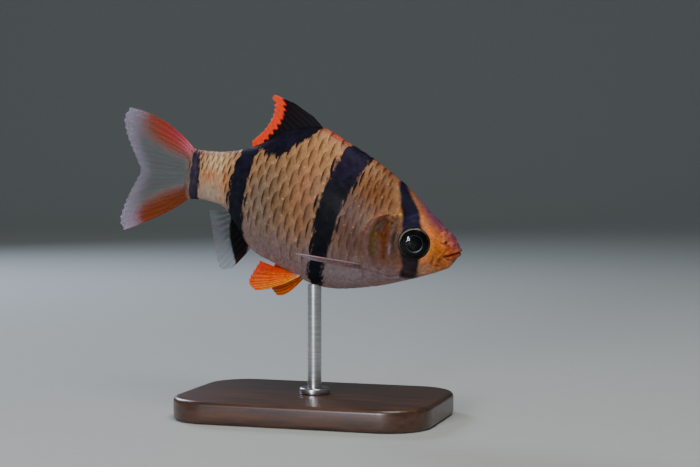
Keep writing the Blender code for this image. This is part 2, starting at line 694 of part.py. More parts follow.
def main():
    """Builds the whole fish and its stand in an emptied scene."""
    for obj in list(bpy.data.objects):
        bpy.data.objects.remove(obj)
    bpy.context.scene.unit_settings.scale_length = 1
    flesh = material("golden scaled flesh", "b99563", 0.35)
    orange = material("orange head skin", "c97d33", 0.35)
    red = material("red fin", "c8401f", 0.4)
    clear = material("clear fin", "9fa3a0", 0.35)
    make_head(flesh, orange, material("glossy black eye", "0b0b0d", 0.08))
    make_trunk(flesh)
    make_median_fins(red, clear)
    make_tail_fin(red)
    make_paired_fins(red, clear)
    bpy.context.view_layer.update()
    make_stand(material("dark stained wood", "3a2a20", 0.45), material("brushed steel", "b9bbbd", 0.3))


main()
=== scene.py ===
# %% [markdown]
# # A tiger barb on its display stand
#
# The tiger barb is a small, deep-bodied river fish with four black bands. Here it is a still
# museum model, five centimetres long without its tail fin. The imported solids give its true
# shape. This lesson dresses them: one skin, about five hundred overlapping scales, clear fins
# with bony rays, and wet, glossy eyes.

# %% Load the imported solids
import math

import bpy
import numpy as np
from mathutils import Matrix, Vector


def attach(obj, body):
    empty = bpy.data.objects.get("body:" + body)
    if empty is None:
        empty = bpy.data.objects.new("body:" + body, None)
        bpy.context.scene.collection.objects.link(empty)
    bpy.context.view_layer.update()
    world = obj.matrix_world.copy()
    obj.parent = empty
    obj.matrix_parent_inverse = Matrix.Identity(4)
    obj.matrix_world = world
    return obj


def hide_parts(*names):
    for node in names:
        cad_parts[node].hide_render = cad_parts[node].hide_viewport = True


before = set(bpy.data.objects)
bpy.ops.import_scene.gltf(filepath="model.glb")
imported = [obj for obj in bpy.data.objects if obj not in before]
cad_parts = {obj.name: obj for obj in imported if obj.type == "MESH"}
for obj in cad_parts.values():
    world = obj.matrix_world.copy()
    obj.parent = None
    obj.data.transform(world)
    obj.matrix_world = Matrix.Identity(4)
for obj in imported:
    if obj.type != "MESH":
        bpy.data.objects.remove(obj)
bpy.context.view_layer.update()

# %% [markdown]
# ## The body's outlines
#
# A fish is easiest to draw straight. Every place on it is written as s, y and z in lengths of
# the body: s runs from 0 at the snout to 1 at the root of the tail fin, y is to its left and z
# is up. These are the same outlines as the solids were made from.

# %% Sizes of the straight fish
MM = 0.001
LENGTH = 50 * MM
BODY_MM = LENGTH / MM
NOSE_DOWN = math.radians(15.3)
TAIL_TURN, TURN_FROM, TURN_TO = math.radians(31), 0.50, 0.98
FIN_LAG, LAG_FROM, LAG_TO = math.radians(13), 0.98, 1.14
TAIL_DROOP, DROOP_FROM, DROOP_TO = math.radians(13), 0.70, 1.08
ROD_STATION, BELLY_HEIGHT = 0.43, 21 * MM

BACK_LINE = [
    (0.0, 0.012), (0.03, 0.036), (0.088, 0.066), (0.146, 0.102), (0.213, 0.144), (0.275, 0.173),
    (0.346, 0.201), (0.443, 0.230), (0.530, 0.251), (0.60, 0.236), (0.66, 0.199), (0.757, 0.127),
    (0.80, 0.107), (0.884, 0.086), (0.964, 0.082), (1.03, 0.088),
]
BELLY_LINE = [
    (0.0, -0.030), (0.014, -0.052), (0.047, -0.079), (0.094, -0.109), (0.148, -0.140),
    (0.218, -0.177), (0.290, -0.208), (0.357, -0.230), (0.421, -0.238), (0.507, -0.225),
    (0.578, -0.210), (0.631, -0.202), (0.668, -0.189), (0.740, -0.135), (0.805, -0.092),
    (0.873, -0.084), (0.95, -0.083), (1.03, -0.087),
]
HALF_WIDTH = [
    (0.0, 0.022), (0.03, 0.036), (0.07, 0.055), (0.13, 0.074), (0.20, 0.083), (0.30, 0.088),
    (0.42, 0.088), (0.54, 0.080), (0.67, 0.060), (0.80, 0.038), (0.90, 0.026), (1.03, 0.014),
]
WIDEST_LEVEL = [
    (0.0, -0.004), (0.13, -0.015), (0.42, -0.020), (0.67, -0.005), (0.80, 0.006), (1.03, 0.0),
]
SNOUT_ROUND, SNOUT_LEVEL = 0.030, -0.004
BACK_POWER, BELLY_POWER = 1.85, 2.15
SKIN_END, THIN_FROM, THIN_BY = 1.05, 0.985, 0.93

MOUTH_CORNER, MOUTH_SLOPE = 0.032, -0.68
NOSTRIL_S, NOSTRIL_Z = 0.044, 0.016
EYE_S, EYE_Z, EYE_RADIUS, EYE_DOME = 0.132, -0.011, 2.5 * MM, 0.55 * MM
EYE_BROW = [(2.1, -1.45), (1.25, -0.48), (0.8, -0.13), (0.52, 0.0), (0.3, 0.0)]
GILL_OUTLINE = [
    (0.226, 0.050), (0.213, 0.024), (0.208, -0.018), (0.194, -0.062), (0.168, -0.098),
    (0.182, -0.122), (0.224, -0.120), (0.253, -0.094), (0.269, -0.052), (0.270, -0.010), (0.255, 0.030),
]
print("the body is", round(BODY_MM), "mm long, and each eye", round(2 * EYE_RADIUS / MM), "mm across")

# %% [markdown]
# ## Smooth curves
#
# An outline is given by a few points, and a smooth curve runs through them. `ease` is the
# other tool used all through this lesson: a soft step from 0 to 1.

# %% Smooth steps and curves
def ease(value, start, stop):
    """0 before start and 1 after stop, with a smooth rise between them."""
    share = np.clip((value - start) / (stop - start), 0, 1)
    return share * share * (3 - 2 * share)


def smooth_curve(points):
    """A function of the first number of each point that runs smoothly through the second."""
    xs, ys = np.array(points, float).T
    slopes = np.gradient(ys, xs)

    def at(x):
        x = np.clip(x, xs[0], xs[-1])
        i = np.clip(np.searchsorted(xs, x) - 1, 0, len(xs) - 2)
        span = xs[i + 1] - xs[i]
        t = (x - xs[i]) / span
        start = ys[i] * (1 + 2 * t) * (1 - t) ** 2 + slopes[i] * span * t * (1 - t) ** 2
        stop = ys[i + 1] * t * t * (3 - 2 * t) + slopes[i + 1] * span * t * t * (t - 1)
        return start + stop

    return at


def closed_curve(points, count):
    """Points spread round a smooth closed outline through the given ones."""
    points = np.array(points, float)
    turn = np.arange(count) * len(points) / count
    i = np.floor(turn).astype(int)
    t = (turn - i)[:, None]
    before, here, after, beyond = (points[(i + k) % len(points)] for k in (-1, 0, 1, 2))
    return 0.5 * (
        2 * here
        + (after - before) * t
        + (2 * before - 5 * here + 4 * after - beyond) * t**2
        + (3 * here - before - 3 * after + beyond) * t**3
    )


back_line, belly_line = smooth_curve(BACK_LINE), smooth_curve(BELLY_LINE)
half_width, widest_level = smooth_curve(HALF_WIDTH), smooth_curve(WIDEST_LEVEL)
print("the body is", round(float(back_line(0.53) - belly_line(0.53)) * BODY_MM, 1), "mm deep")

# %% [markdown]
# ## From the straight fish to its pose
#
# `place` bends the straight fish along its spine, tips its nose down and sets it over the
# stand, exactly as the solids were placed. Whatever is drawn on the straight fish lands on
# the bent one, so no piece has to be fitted by eye.

# %% The bent spine and the pose
def spine_directions(s):
    """Unit vectors towards the tail, to the fish's left and up, at s along the bent spine."""
    turn = TAIL_TURN * ease(s, TURN_FROM, TURN_TO) - FIN_LAG * ease(s, LAG_FROM, LAG_TO)
    droop = TAIL_DROOP * ease(s, DROOP_FROM, DROOP_TO)
    tailwards = np.stack([-np.cos(turn) * np.cos(droop), np.sin(turn) * np.cos(droop), -np.sin(droop)], -1)
    left = np.stack([np.sin(turn), np.cos(turn), np.zeros_like(turn)], -1)
    return tailwards, left, np.cross(left, tailwards)


def spine_points(stations):
    """The bent spine, with the snout at the origin."""
    tailwards = spine_directions(stations)[0]
    steps = (tailwards[1:] + tailwards[:-1]) / 2 * np.diff(stations)[:, None]
    points = np.concatenate([np.zeros((1, 3)), np.cumsum(steps, 0)])
    return points - [np.interp(0, stations, points[:, axis]) for axis in range(3)]


SPINE_S = np.linspace(-0.1, 1.5, 1601)
SPINE = spine_points(SPINE_S)


def bent(s, y, z):
    """A point of the straight fish in its pose, with the snout at the origin, in metres."""
    s, y, z = np.broadcast_arrays(*(np.asarray(part, float) for part in (s, y, z)))
    _, left, up = spine_directions(s)
    middle = np.stack([np.interp(s, SPINE_S, SPINE[:, axis]) for axis in range(3)], -1)
    x, across, height = np.moveaxis((middle + y[..., None] * left + z[..., None] * up) * LENGTH, -1, 0)
    cos, sin = math.cos(NOSE_DOWN), math.sin(NOSE_DOWN)
    return np.stack([cos * x + sin * height, across, cos * height - sin * x], -1)


OVER_STAND = np.array([0, 0, BELLY_HEIGHT]) - bent(ROD_STATION, 0, belly_line(ROD_STATION))


def place(points):
    """Points (s, y, z) of the straight fish, in their places over the stand."""
    points = np.asarray(points, float)
    return bent(points[..., 0], points[..., 1], points[..., 2]) + OVER_STAND


print("snout at", (place([0, 0, SNOUT_LEVEL]) * 1000).round(1), "mm")

# %% [markdown]
# ## Sections of the body
#
# A slice across the fish is a rounded form, a little fuller below than above. `skin_round`
# gives the place of the skin at an angle round a slice, and `skin_y` how far out it lies at a
# height. Both describe the smooth body, before lips, gill covers or scales.

# %% Sections of the body
def skin_round(s, angle):
    """(y, z) of the skin at an angle round the section: 0 is the left side and 90 degrees the back."""
    rounding = np.sqrt(1 - (1 - np.clip(s / SNOUT_ROUND, 0, 1)) ** 2)
    top = SNOUT_LEVEL + (back_line(s) - SNOUT_LEVEL) * rounding
    bottom = SNOUT_LEVEL + (belly_line(s) - SNOUT_LEVEL) * rounding
    level = widest_level(s)
    thin = 1 - THIN_BY * ease(s, THIN_FROM, SKIN_END)
    cos, sin = np.cos(angle), np.sin(angle)
    power = np.where(sin > 0, BACK_POWER, BELLY_POWER)
    reach = np.where(sin > 0, top - level, level - bottom)
    y = half_width(s) * rounding * thin * np.sign(cos) * np.abs(cos) ** (2 / power)
    return y, level + reach * np.sign(sin) * np.abs(sin) ** (2 / power)


def skin_y(s, z):
    """How far the skin lies from the middle plane at height z."""
    level = widest_level(s)
    above = z > level
    reach = np.where(above, back_line(s) - level, level - belly_line(s))
    power = np.where(above, BACK_POWER, BELLY_POWER)
    share = np.clip(np.abs(z - level) / np.maximum(reach, 1e-6), 0, 0.999)
    return half_width(s) * (1 - share**power) ** (1 / power)


def over_skin(s, z, side, lift):
    """A straight-fish point on one side, +1 left or -1 right, lifted off the skin along its normal."""
    step, raised = 1e-3, lift / LENGTH
    along = (skin_y(s + step, z) - skin_y(s - step, z)) / (2 * step)
    upward = (skin_y(s, z + step) - skin_y(s, z - step)) / (2 * step)
    size = np.sqrt(1 + along**2 + upward**2)
    off = skin_y(s, z) + raised / size
    return np.stack([s - along / size * raised, side * off, z - upward / size * raised], -1)


print("the fish is", round(float(2 * skin_y(EYE_S, EYE_Z)) * BODY_MM, 1), "mm wide at the eyes")

# %% [markdown]
# ## Distances on the straight fish
#
# Grooves, edges and bands are all drawn the same way: measure how far each point of the skin
# is from a line, in millimetres, and let that distance decide the height or the colour.

# %% Distances to lines and outlines
def line_distance(route, s, z, closed=False):
    """Distance in mm from each place to a line through (s, z) points."""
    route = np.array(route, float)
    if closed:
        route = np.concatenate([route, route[:1]])
    nearest = np.full(np.shape(s), 1e9)
    for (s0, z0), (s1, z1) in zip(route, route[1:]):
        ds, dz = s1 - s0, z1 - z0
        along = np.clip(((s - s0) * ds + (z - z0) * dz) / (ds * ds + dz * dz), 0, 1)
        nearest = np.minimum(nearest, np.hypot(s - s0 - along * ds, z - z0 - along * dz))
    return nearest * BODY_MM


def inside_distance(outline, s, z):
    """Distance in mm to a closed outline, above 0 inside it and below 0 outside."""
    inside = np.zeros(np.shape(s), bool)
    for (s0, z0), (s1, z1) in zip(outline, np.roll(outline, -1, 0)):
        crosses = (z0 > z) != (z1 > z)
        inside ^= crosses & (s < s0 + (z - z0) / np.where(z1 == z0, 1e-9, z1 - z0) * (s1 - s0))
    return line_distance(outline, s, z, closed=True) * np.where(inside, 1, -1)


def swell(distance, width):
    """1 on a line and fading to nothing about two widths away from it."""
    return np.exp(-((distance / width) ** 2))


to_gill = float(line_distance(GILL_OUTLINE, EYE_S, EYE_Z))
print("the gill cover starts", round(to_gill, 1), "mm behind the middle of the eye")


# %% [markdown]
# ## Black bands
#
# The bands run round the fish from the back down. Each is given by its front and its rear
# edge, as s for a few heights z. The first goes through the eye, the third runs down on to the
# anal fin, and the fourth rings the root of the tail fin. A fifth patch lies under the dorsal fin.

# %% Bands as signed distances
BANDS = [
    # front edge (z, s), rear edge (z, s), lowest z, highest z
    (
        [(-0.126, 0.112), (-0.074, 0.104), (-0.047, 0.104), (0.0, 0.115), (0.038, 0.123), (0.056, 0.132),
         (0.087, 0.153), (0.111, 0.179), (0.139, 0.208), (0.152, 0.222)],
        [(-0.126, 0.158), (-0.112, 0.157), (-0.088, 0.152), (-0.058, 0.163), (0.0, 0.172), (0.032, 0.183),
         (0.051, 0.189), (0.083, 0.206), (0.116, 0.222), (0.152, 0.243)],
        -0.127, 0.30,
    ),
    (
        [(-0.24, 0.400), (-0.221, 0.392), (-0.182, 0.396), (-0.104, 0.388), (-0.060, 0.380), (0.0, 0.379),
         (0.062, 0.374), (0.119, 0.358), (0.165, 0.347), (0.21, 0.338)],
        [(-0.24, 0.436), (-0.214, 0.442), (-0.163, 0.445), (-0.109, 0.449), (-0.051, 0.459), (0.012, 0.463),
         (0.073, 0.457), (0.125, 0.453), (0.172, 0.442), (0.212, 0.433), (0.24, 0.426)],
        -0.234, 0.30,
    ),
    (
        [(-0.24, 0.678), (-0.179, 0.687), (-0.123, 0.690), (-0.073, 0.700), (-0.023, 0.702), (0.041, 0.706),
         (0.085, 0.708), (0.14, 0.708)],
        [(-0.25, 0.708), (-0.158, 0.765), (-0.082, 0.775), (0.041, 0.784), (0.12, 0.789)],
        -0.252, 0.30,
    ),
    (
        [(-0.09, 0.957), (-0.02, 0.942), (0.06, 0.960), (0.09, 0.982)],
        [(-0.09, 1.008), (0.0, 1.009), (0.06, 1.014), (0.09, 1.006)],
        -0.40, 0.078,
    ),
]
SADDLE_EDGE = [
    (0.50, 0.30), (0.530, 0.246), (0.553, 0.206), (0.580, 0.180), (0.600, 0.152), (0.615, 0.131),
    (0.635, 0.124), (0.66, 0.118), (0.70, 0.126), (0.74, 0.122), (0.78, 0.13),
]
SADDLE_END = 0.765


def band_distance(s, z):
    """How deep in mm each place lies inside a black band; below 0 it is outside."""
    saddle = smooth_curve(SADDLE_EDGE)
    deepest = np.minimum((z - saddle(s)), SADDLE_END - s) * BODY_MM
    for front, rear, lowest, highest in BANDS:
        depth = np.minimum(s - smooth_curve(front)(z), smooth_curve(rear)(z) - s)
        depth = np.minimum(depth, np.minimum(z - lowest, highest - z))
        deepest = np.maximum(deepest, depth * BODY_MM)
    return deepest


print("the second band is", round(float(band_distance(np.array(0.42), np.array(0.0))) * 2, 1), "mm wide")

# %% [markdown]
# ## Ground colours
#
# Under the bands the skin changes slowly from orange snout to golden back and pinkish grey
# belly. A real barb's colours come from pigment cells of three kinds and from mirror-like
# crystals. Here each patch of colour is a soft spot with a place, a size, a colour and a
# strength, laid over the ones before it.

# %% Colour patches
FLANK, BELLY, GOLD_BACK, BACK_EDGE = "886743", "68585a", "b28254", "8c5240"
SPOTS = [
    # name, s, z, reach along, reach up, colour, strength
    ("shoulder", 0.29, 0.11, 0.08, 0.09, "74451f", 0.9),
    ("side of the breast", 0.315, -0.05, 0.075, 0.08, "4b332c", 0.9),
    ("breast", 0.30, -0.17, 0.12, 0.05, "766a6a", 0.8),
    ("flank behind the second band", 0.50, 0.04, 0.05, 0.12, "a05f2c", 0.6),
    ("rear flank", 0.64, -0.03, 0.06, 0.11, "736458", 0.85),
    ("tail stalk", 0.87, 0.04, 0.07, 0.06, "dcc094", 0.9),
    ("tail stalk below", 0.87, -0.06, 0.08, 0.04, "a89682", 0.8),
    ("orange beside the third band", 0.800, 0.0, 0.018, 0.05, "c87c4a", 0.6),
    ("clear root of the tail fin", 1.032, 0.0, 0.020, 0.100, "5a6060", 0.95),
    ("pink root of the tail fin", 1.015, 0.080, 0.030, 0.018, "d88a94", 0.9),
    ("head", 0.12, -0.02, 0.11, 0.10, "8e5a3a", 0.9),
    ("throat", 0.17, -0.14, 0.09, 0.035, "7c676a", 0.95),
    ("cheek", 0.19, -0.03, 0.035, 0.07, "41312e", 0.95),
    ("gill cover", 0.245, -0.05, 0.03, 0.06, "50403e", 0.85),
    ("gold on the gill cover", 0.236, -0.018, 0.022, 0.050, "64350a", 0.95),
    ("brown top of the gill cover", 0.244, 0.016, 0.024, 0.030, "3e2414", 0.92),
    ("olive rear of the gill cover", 0.259, -0.034, 0.013, 0.042, "56421a", 0.8),
    ("grey middle of the gill cover", 0.241, -0.050, 0.011, 0.034, "5c4a40", 0.6),
    ("snout", 0.045, -0.005, 0.055, 0.060, "b85410", 0.98),
    ("golden cheek before the eye", 0.080, -0.014, 0.026, 0.036, "c47c1e", 0.85),
    ("bright strip before the eye", 0.094, 0.030, 0.030, 0.030, "dc7a3a", 0.95),
    ("strip up the forehead", 0.140, 0.078, 0.034, 0.020, "d07830", 0.9),
    ("cheek before the eye", 0.078, -0.045, 0.030, 0.030, "cc7c3c", 0.9),
    ("under the eye", 0.088, -0.085, 0.030, 0.022, "b8886c", 0.8),
    ("chin", 0.035, -0.055, 0.032, 0.022, "ae6034", 0.95),
    ("tip of the jaw", 0.006, -0.034, 0.012, 0.012, "6e2c30", 0.8),
    ("tip of the snout", 0.014, 0.020, 0.026, 0.016, "6c3860", 0.88),
    ("tail stalk middle", 0.885, 0.005, 0.045, 0.024, "c0764e", 0.85),
    ("mark over the jaw", 0.052, -0.040, 0.010, 0.014, "8a4a0c", 0.7),
    ("reddish lips", 0.020, -0.018, 0.026, 0.013, "8c300e", 0.75),
    # painted shade: the corner of the mouth and the pit of the nostril are darkened
    ("painted shade in the corner of the mouth", 0.036, -0.026, 0.009, 0.008, "5c240c", 0.7),
    ("painted shade in the pit of the nostril", 0.044, 0.015, 0.006, 0.007, "3a1408", 0.9),
    ("grey brown over the gill", 0.262, 0.020, 0.014, 0.030, "5c4030", 0.6),
    ("reddish brown before the second band", 0.345, 0.02, 0.035, 0.07, "5c3218", 0.85),
    ("olive of the middle flank", 0.57, -0.01, 0.06, 0.06, "6a4c2c", 0.6),
    ("dark red beside the second band", 0.364, 0.012, 0.017, 0.065, "4a2012", 0.75),
    ("brown behind the second band", 0.478, -0.01, 0.018, 0.080, "5e3c24", 0.55),
]
FLECKS = [
    ("dark olive beside the first band", 0.206, 0.050, 0.010, 0.016, "3c2a14", 0.7),
    ("brown heart of the gill cover's top", 0.245, 0.012, 0.011, 0.020, "3c2212", 0.75),
    ("dark skin behind the gill cover", 0.288, 0.010, 0.010, 0.014, "5a3426", 0.5),
    ("gold fleck over the eye", 0.200, 0.062, 0.005, 0.006, "d8a030", 0.9),
    ("gold fleck behind it", 0.216, 0.059, 0.005, 0.004, "c48c34", 0.6),
    ("gold fleck on the gill cover", 0.254, -0.012, 0.004, 0.004, "8a6028", 0.45),
    ("orange fleck beside it", 0.232, -0.006, 0.003, 0.006, "8c5020", 0.45),
    ("gold fleck beside the cheek", 0.222, 0.026, 0.004, 0.005, "8a5c20", 0.8),
]
BAND_BLACK = "101116"
# Apart from the brown foot of the first band, these spots paint the bands' violet sheen into their colour,
# most of it near the back.
BAND_SPOTS = [
    ("violet over the eye", 0.160, 0.055, 0.035, 0.045, "181530", 0.9),
    ("top of the first band", 0.205, 0.13, 0.035, 0.040, "14132a", 0.8),
    ("brown foot of the first band", 0.130, -0.100, 0.035, 0.030, "34282a", 0.9),
    ("top of the second band", 0.395, 0.170, 0.070, 0.060, "231d32", 0.8),
    ("middle of the third band", 0.735, -0.05, 0.050, 0.120, "1a1b24", 0.8),
    ("saddle under the dorsal fin", 0.640, 0.190, 0.120, 0.050, "171424", 0.8),
    ("top of the third band", 0.745, 0.090, 0.040, 0.050, "191728", 0.8),
    ("band round the root of the tail", 0.985, 0.0, 0.040, 0.090, "3c3646", 0.95),
]
STROKES = [
    # name, route through (s, z), width in mm, colour, strength
    ("lilac arc behind the gill",
     [(0.262, 0.038), (0.274, 0.010), (0.280, -0.035), (0.272, -0.075), (0.254, -0.104)],
     0.50, "6a4a4c", 0.55),
    ("olive border of the gill cover",
     [(0.262, 0.016), (0.266, -0.014), (0.264, -0.038), (0.258, -0.066), (0.248, -0.082)],
     0.40, "46380c", 0.85),
    ("brown bar of the gill cover",
     [(0.236, 0.010), (0.227, -0.022), (0.218, -0.054), (0.215, -0.078)], 0.44, "582509", 0.9),
    ("brown mottle over it",
     [(0.253, 0.000), (0.252, 0.024), (0.240, 0.038), (0.226, 0.032)], 0.34, "34200f", 0.9),
    ("dark gap before the bar", [(0.206, 0.030), (0.200, 0.004), (0.198, -0.020)], 0.36, "38231a", 0.75),
    ("brown mottle on top", [(0.264, 0.020), (0.252, 0.044), (0.234, 0.052)], 0.28, "40250f", 0.8),
    ("brown line over the upper lip", [(0.018, 0.002), (0.030, 0.000), (0.044, -0.006)], 0.22, "7a300c", 0.5),
    # painted shade: the slit between the lips is darkened
    ("painted shade along the line of the mouth", [(0.002, -0.006), (0.018, -0.017), (0.034, -0.028)], 0.18, "57200c", 0.7),
    # painted highlight: a pale line where light catches the edge of the cheek
    ("painted highlight on the edge of the cheek", [(0.204, -0.036), (0.201, -0.062)], 0.20, "96809a", 0.42),
    ("orange line over the gill",
     [(0.200, 0.078), (0.206, 0.074), (0.240, 0.057), (0.276, 0.040)], 0.22, "b05a20", 0.85),
    # painted shade: the creases over the jaw are darkened
    ("painted shade in the crease over the jaw", [(0.040, -0.026), (0.050, -0.042), (0.056, -0.064)], 0.30, "5a260c", 0.5),
    ("painted shade in the crease behind it", [(0.068, -0.036), (0.070, -0.062)], 0.20, "7e4010", 0.7),
]


def linear(colour):
    """A colour written as six hexadecimal digits, as linear light."""
    parts = np.array([int(colour[i : i + 2], 16) for i in (0, 2, 4)]) / 255
    return np.where(parts <= 0.04045, parts / 12.92, ((parts + 0.055) / 1.055) ** 2.4)


def laid_over(ground, colour, cover):
    """Colours with another laid over them where cover is above 0."""
    return ground + (linear(colour) - ground) * np.asarray(cover)[..., None]


def blotches(s, z):
    """0 to 1 in patches about half a millimetre across, uneven as pigment cells are."""
    x, y = s * BODY_MM, z * BODY_MM
    bent_x = x + 0.9 * np.sin(1.9 * y + 1.4 * np.sin(1.3 * x))
    bent_y = y + 0.7 * np.sin(2.3 * x + 1.7 * np.sin(2.9 * y))
    return ease(np.sin(3.1 * bent_x + 1.1 * bent_y) * np.sin(2.6 * bent_y - 1.7 * bent_x), 0.0, 0.8)


def spotted(colour, spots, s, z):
    """Soft spots of colour laid over the ground, one after another."""
    for _, s0, z0, reach_s, reach_z, spot, strength in spots:
        away = np.hypot((s - s0) / reach_s, (z - z0) / reach_z)
        colour = laid_over(colour, spot, strength * swell(away, 1))
    return colour


def band_colour(s, z):
    """The colour of the skin where a band covers it, with its violet sheen painted in."""
    return spotted(np.broadcast_to(linear(BAND_BLACK), (*np.shape(s), 3)), BAND_SPOTS, s, z)


def with_back_edge(colour, s, below_back):
    """Draws the back's edge: brown all along, red before the dorsal fin, violet on the brow."""
    before_fin = ease(s, 0.42, 0.45) * (1 - ease(s, 0.54, 0.56))
    brow = 1 - ease(s, 0.12, 0.19)
    colour = laid_over(colour, BACK_EDGE, 0.8 * swell(below_back, 0.55))
    colour = laid_over(colour, "c23a30", 0.9 * swell(below_back, 0.46) * before_fin)
    colour = laid_over(colour, "7c3c4a", 0.85 * swell(below_back, 0.95) * brow)
    return laid_over(colour, "6a4478", 0.55 * swell(below_back, 0.26) * brow)


def mottled(colour, s, z):
    """Uneven blotches on the snout, the cheek and the top of the gill cover."""
    snout = ease(s, 0.005, 0.02) * (1 - ease(s, 0.060, 0.095))
    gill_top = swell(np.hypot((s - 0.230) / 0.040, (z - 0.022) / 0.040), 1)
    cheek = swell(np.hypot((s - 0.205) / 0.040, (z + 0.045) / 0.075), 1)
    colour = laid_over(colour, "6a2a0c", 0.45 * snout * blotches(s, z))
    colour = laid_over(colour, "f0a050", 0.30 * snout * blotches(s + 0.05, z + 0.02))
    dark = np.minimum(0.95 * gill_top + 0.35 * cheek, 1)
    return laid_over(colour, "34200f", dark * blotches(s, z + 0.03))


def ground_colour(s, z):
    """The colour of the skin without its bands."""
    below_back = (back_line(s) - z) * BODY_MM
    above_belly = (z - belly_line(s)) * BODY_MM
    colour = np.broadcast_to(linear(FLANK), (*np.shape(s), 3))
    colour = laid_over(colour, BELLY, 0.85 * (1 - ease(z, -0.17, 0.0)))
    colour = laid_over(colour, GOLD_BACK, 0.8 * swell(below_back, 6))
    colour = spotted(colour, SPOTS, s, z)
    colour = mottled(with_back_edge(colour, s, below_back), s, z)
    for _, route, width, line, strength in STROKES:
        colour = laid_over(colour, line, strength * swell(line_distance(route, s, z), width))
    colour = spotted(colour, FLECKS, s, z)
    return laid_over(colour, "a07668", 0.5 * swell(above_belly, 0.7) * ease(s, 0.10, 0.25))


print(len(SPOTS), "soft spots of colour")

# %% [markdown]
# ## Relief of the head
#
# The head has no scales, so its forms show: lips on both sides of the mouth, nostrils, the rim
# of the eye, the edge of the cheek and the gill cover, a bony flap that stands a little proud.
# `relief` adds them all up as one height over the smooth body, in millimetres.

# %% Heights of lips, nostrils, eye rims and gill covers
CHEEK_EDGE = [
    (0.183, 0.030), (0.190, 0.0), (0.188, -0.035), (0.176, -0.070), (0.155, -0.095), (0.118, -0.104),
]
EYE_FOLD = [(0.100, -0.068), (0.128, -0.078), (0.160, -0.070)]
THROAT_LINE = [(0.235, -0.135), (0.190, -0.138), (0.140, -0.118), (0.085, -0.090)]
NAPE_LINE = [(0.196, 0.055), (0.225, 0.058), (0.258, 0.042), (0.278, 0.0), (0.286, -0.05), (0.276, -0.10)]
JAW_FOLD = [(0.036, -0.026), (0.046, -0.040), (0.052, -0.056)]
SCALE_FRONT = [
    (-0.24, 0.245), (-0.19, 0.235), (-0.155, 0.262), (-0.12, 0.283), (-0.06, 0.291), (0.0, 0.286),
    (0.03, 0.270), (0.050, 0.235), (0.062, 0.205), (0.10, 0.214), (0.15, 0.240), (0.19, 0.252),
]
COAT_DEPTH = 0.16


def mouth_level(s):
    return SNOUT_LEVEL + MOUTH_SLOPE * s


def scaled(s, z):
    """1 where scales cover the skin and 0 on the bare head and at the tail fin."""
    return ease((s - smooth_curve(SCALE_FRONT)(z)) * BODY_MM, -0.2, 0.9) * (1 - ease(s, 1.0, 1.03))


def mouth_relief(s, z):
    above = (z - mouth_level(s)) * BODY_MM
    lips = 0.20 * swell(above - 0.36, 0.27) + 0.20 * swell(above + 0.38, 0.27)
    open_end = 1 - ease(s, 0.7 * MOUTH_CORNER, 1.2 * MOUTH_CORNER)
    return (lips - 0.34 * swell(above, 0.10)) * open_end - 0.08 * swell(line_distance(JAW_FOLD, s, z), 0.16)


def nostril_relief(s, z):
    away = np.hypot(s - NOSTRIL_S, z - NOSTRIL_Z) * BODY_MM
    flap = 0.07 * swell(np.hypot(s - NOSTRIL_S - 0.004, z - NOSTRIL_Z) * BODY_MM, 0.14)
    return 0.045 * swell(away - 0.34, 0.12) - 0.30 * (1 - ease(away, 0.08, 0.28)) + flap


def gill_relief(s, z):
    depth = inside_distance(closed_curve(GILL_OUTLINE, 66), s, z)
    rear = ease(s, 0.205, 0.240)
    flap = 0.10 * ease(depth, -0.10, 0.22) - 0.07 * swell(depth + 0.20, 0.15)
    soft = 0.05 * ease(depth, 0.3, 1.6)
    return rear * (flap + soft)


def relief(s, z):
    """Height in mm over the smooth body of all that shows on the skin, apart from the eye's rim."""
    height = mouth_relief(s, z) + nostril_relief(s, z) + gill_relief(s, z)
    height -= 0.06 * swell(line_distance(CHEEK_EDGE, s, z), 0.17)
    height += 0.02 * swell(line_distance(CHEEK_EDGE, s - 0.008, z), 0.30)
    height -= 0.06 * swell(line_distance(EYE_FOLD, s, z), 0.20)
    height -= 0.12 * swell(line_distance(THROAT_LINE, s, z), 0.16)
    height += 0.015 * swell(line_distance(NAPE_LINE, s, z), 0.22)
    return height - COAT_DEPTH * scaled(s, z)


def eye_frame(side):
    """The middle of the eye's edge and the way it looks, on the straight fish."""
    foot = over_skin(EYE_S, EYE_Z, side, 0.0)
    axis = over_skin(EYE_S, EYE_Z, side, 1 * MM) - foot
    return foot, axis / np.linalg.norm(axis)


def with_eye_rims(points):
    """Sinks the skin under each eye and draws it up to a low rim round it."""
    out, up = np.array(EYE_BROW[::-1]).T
    for side in (-1, 1):
        foot, axis = eye_frame(side)
        away = (points - foot) * BODY_MM
        height = away @ axis
        reach = np.linalg.norm(away - height[..., None] * axis, axis=-1) - EYE_RADIUS / MM
        rim = np.interp(reach, [-0.35, -0.02, 0.10, *out], [-1.3, 0.02, 0.07, *up])
        blend = 0.12
        higher = 0.5 * (height + rim + np.sqrt((height - rim) ** 2 + blend**2)) - 0.5 * blend
        wanted = np.where(reach < 0.25, rim, higher)
        change = np.where((reach < out[-1]) & (np.abs(height) < 3), wanted - height, 0)
        points = points + change[..., None] * axis / BODY_MM
    return points


# %% [markdown]
# ## Making a mesh
#
# Each piece of the fish below ends as one mesh with its colours and measures stored on its
# points, and with a map called OFBake that lays it out flat. `make_piece` puts these together.

# %% The function that makes each piece
LAYER_KINDS = {1: ("FLOAT", "value"), 3: ("FLOAT_VECTOR", "vector"), 4: ("FLOAT_COLOR", "color")}


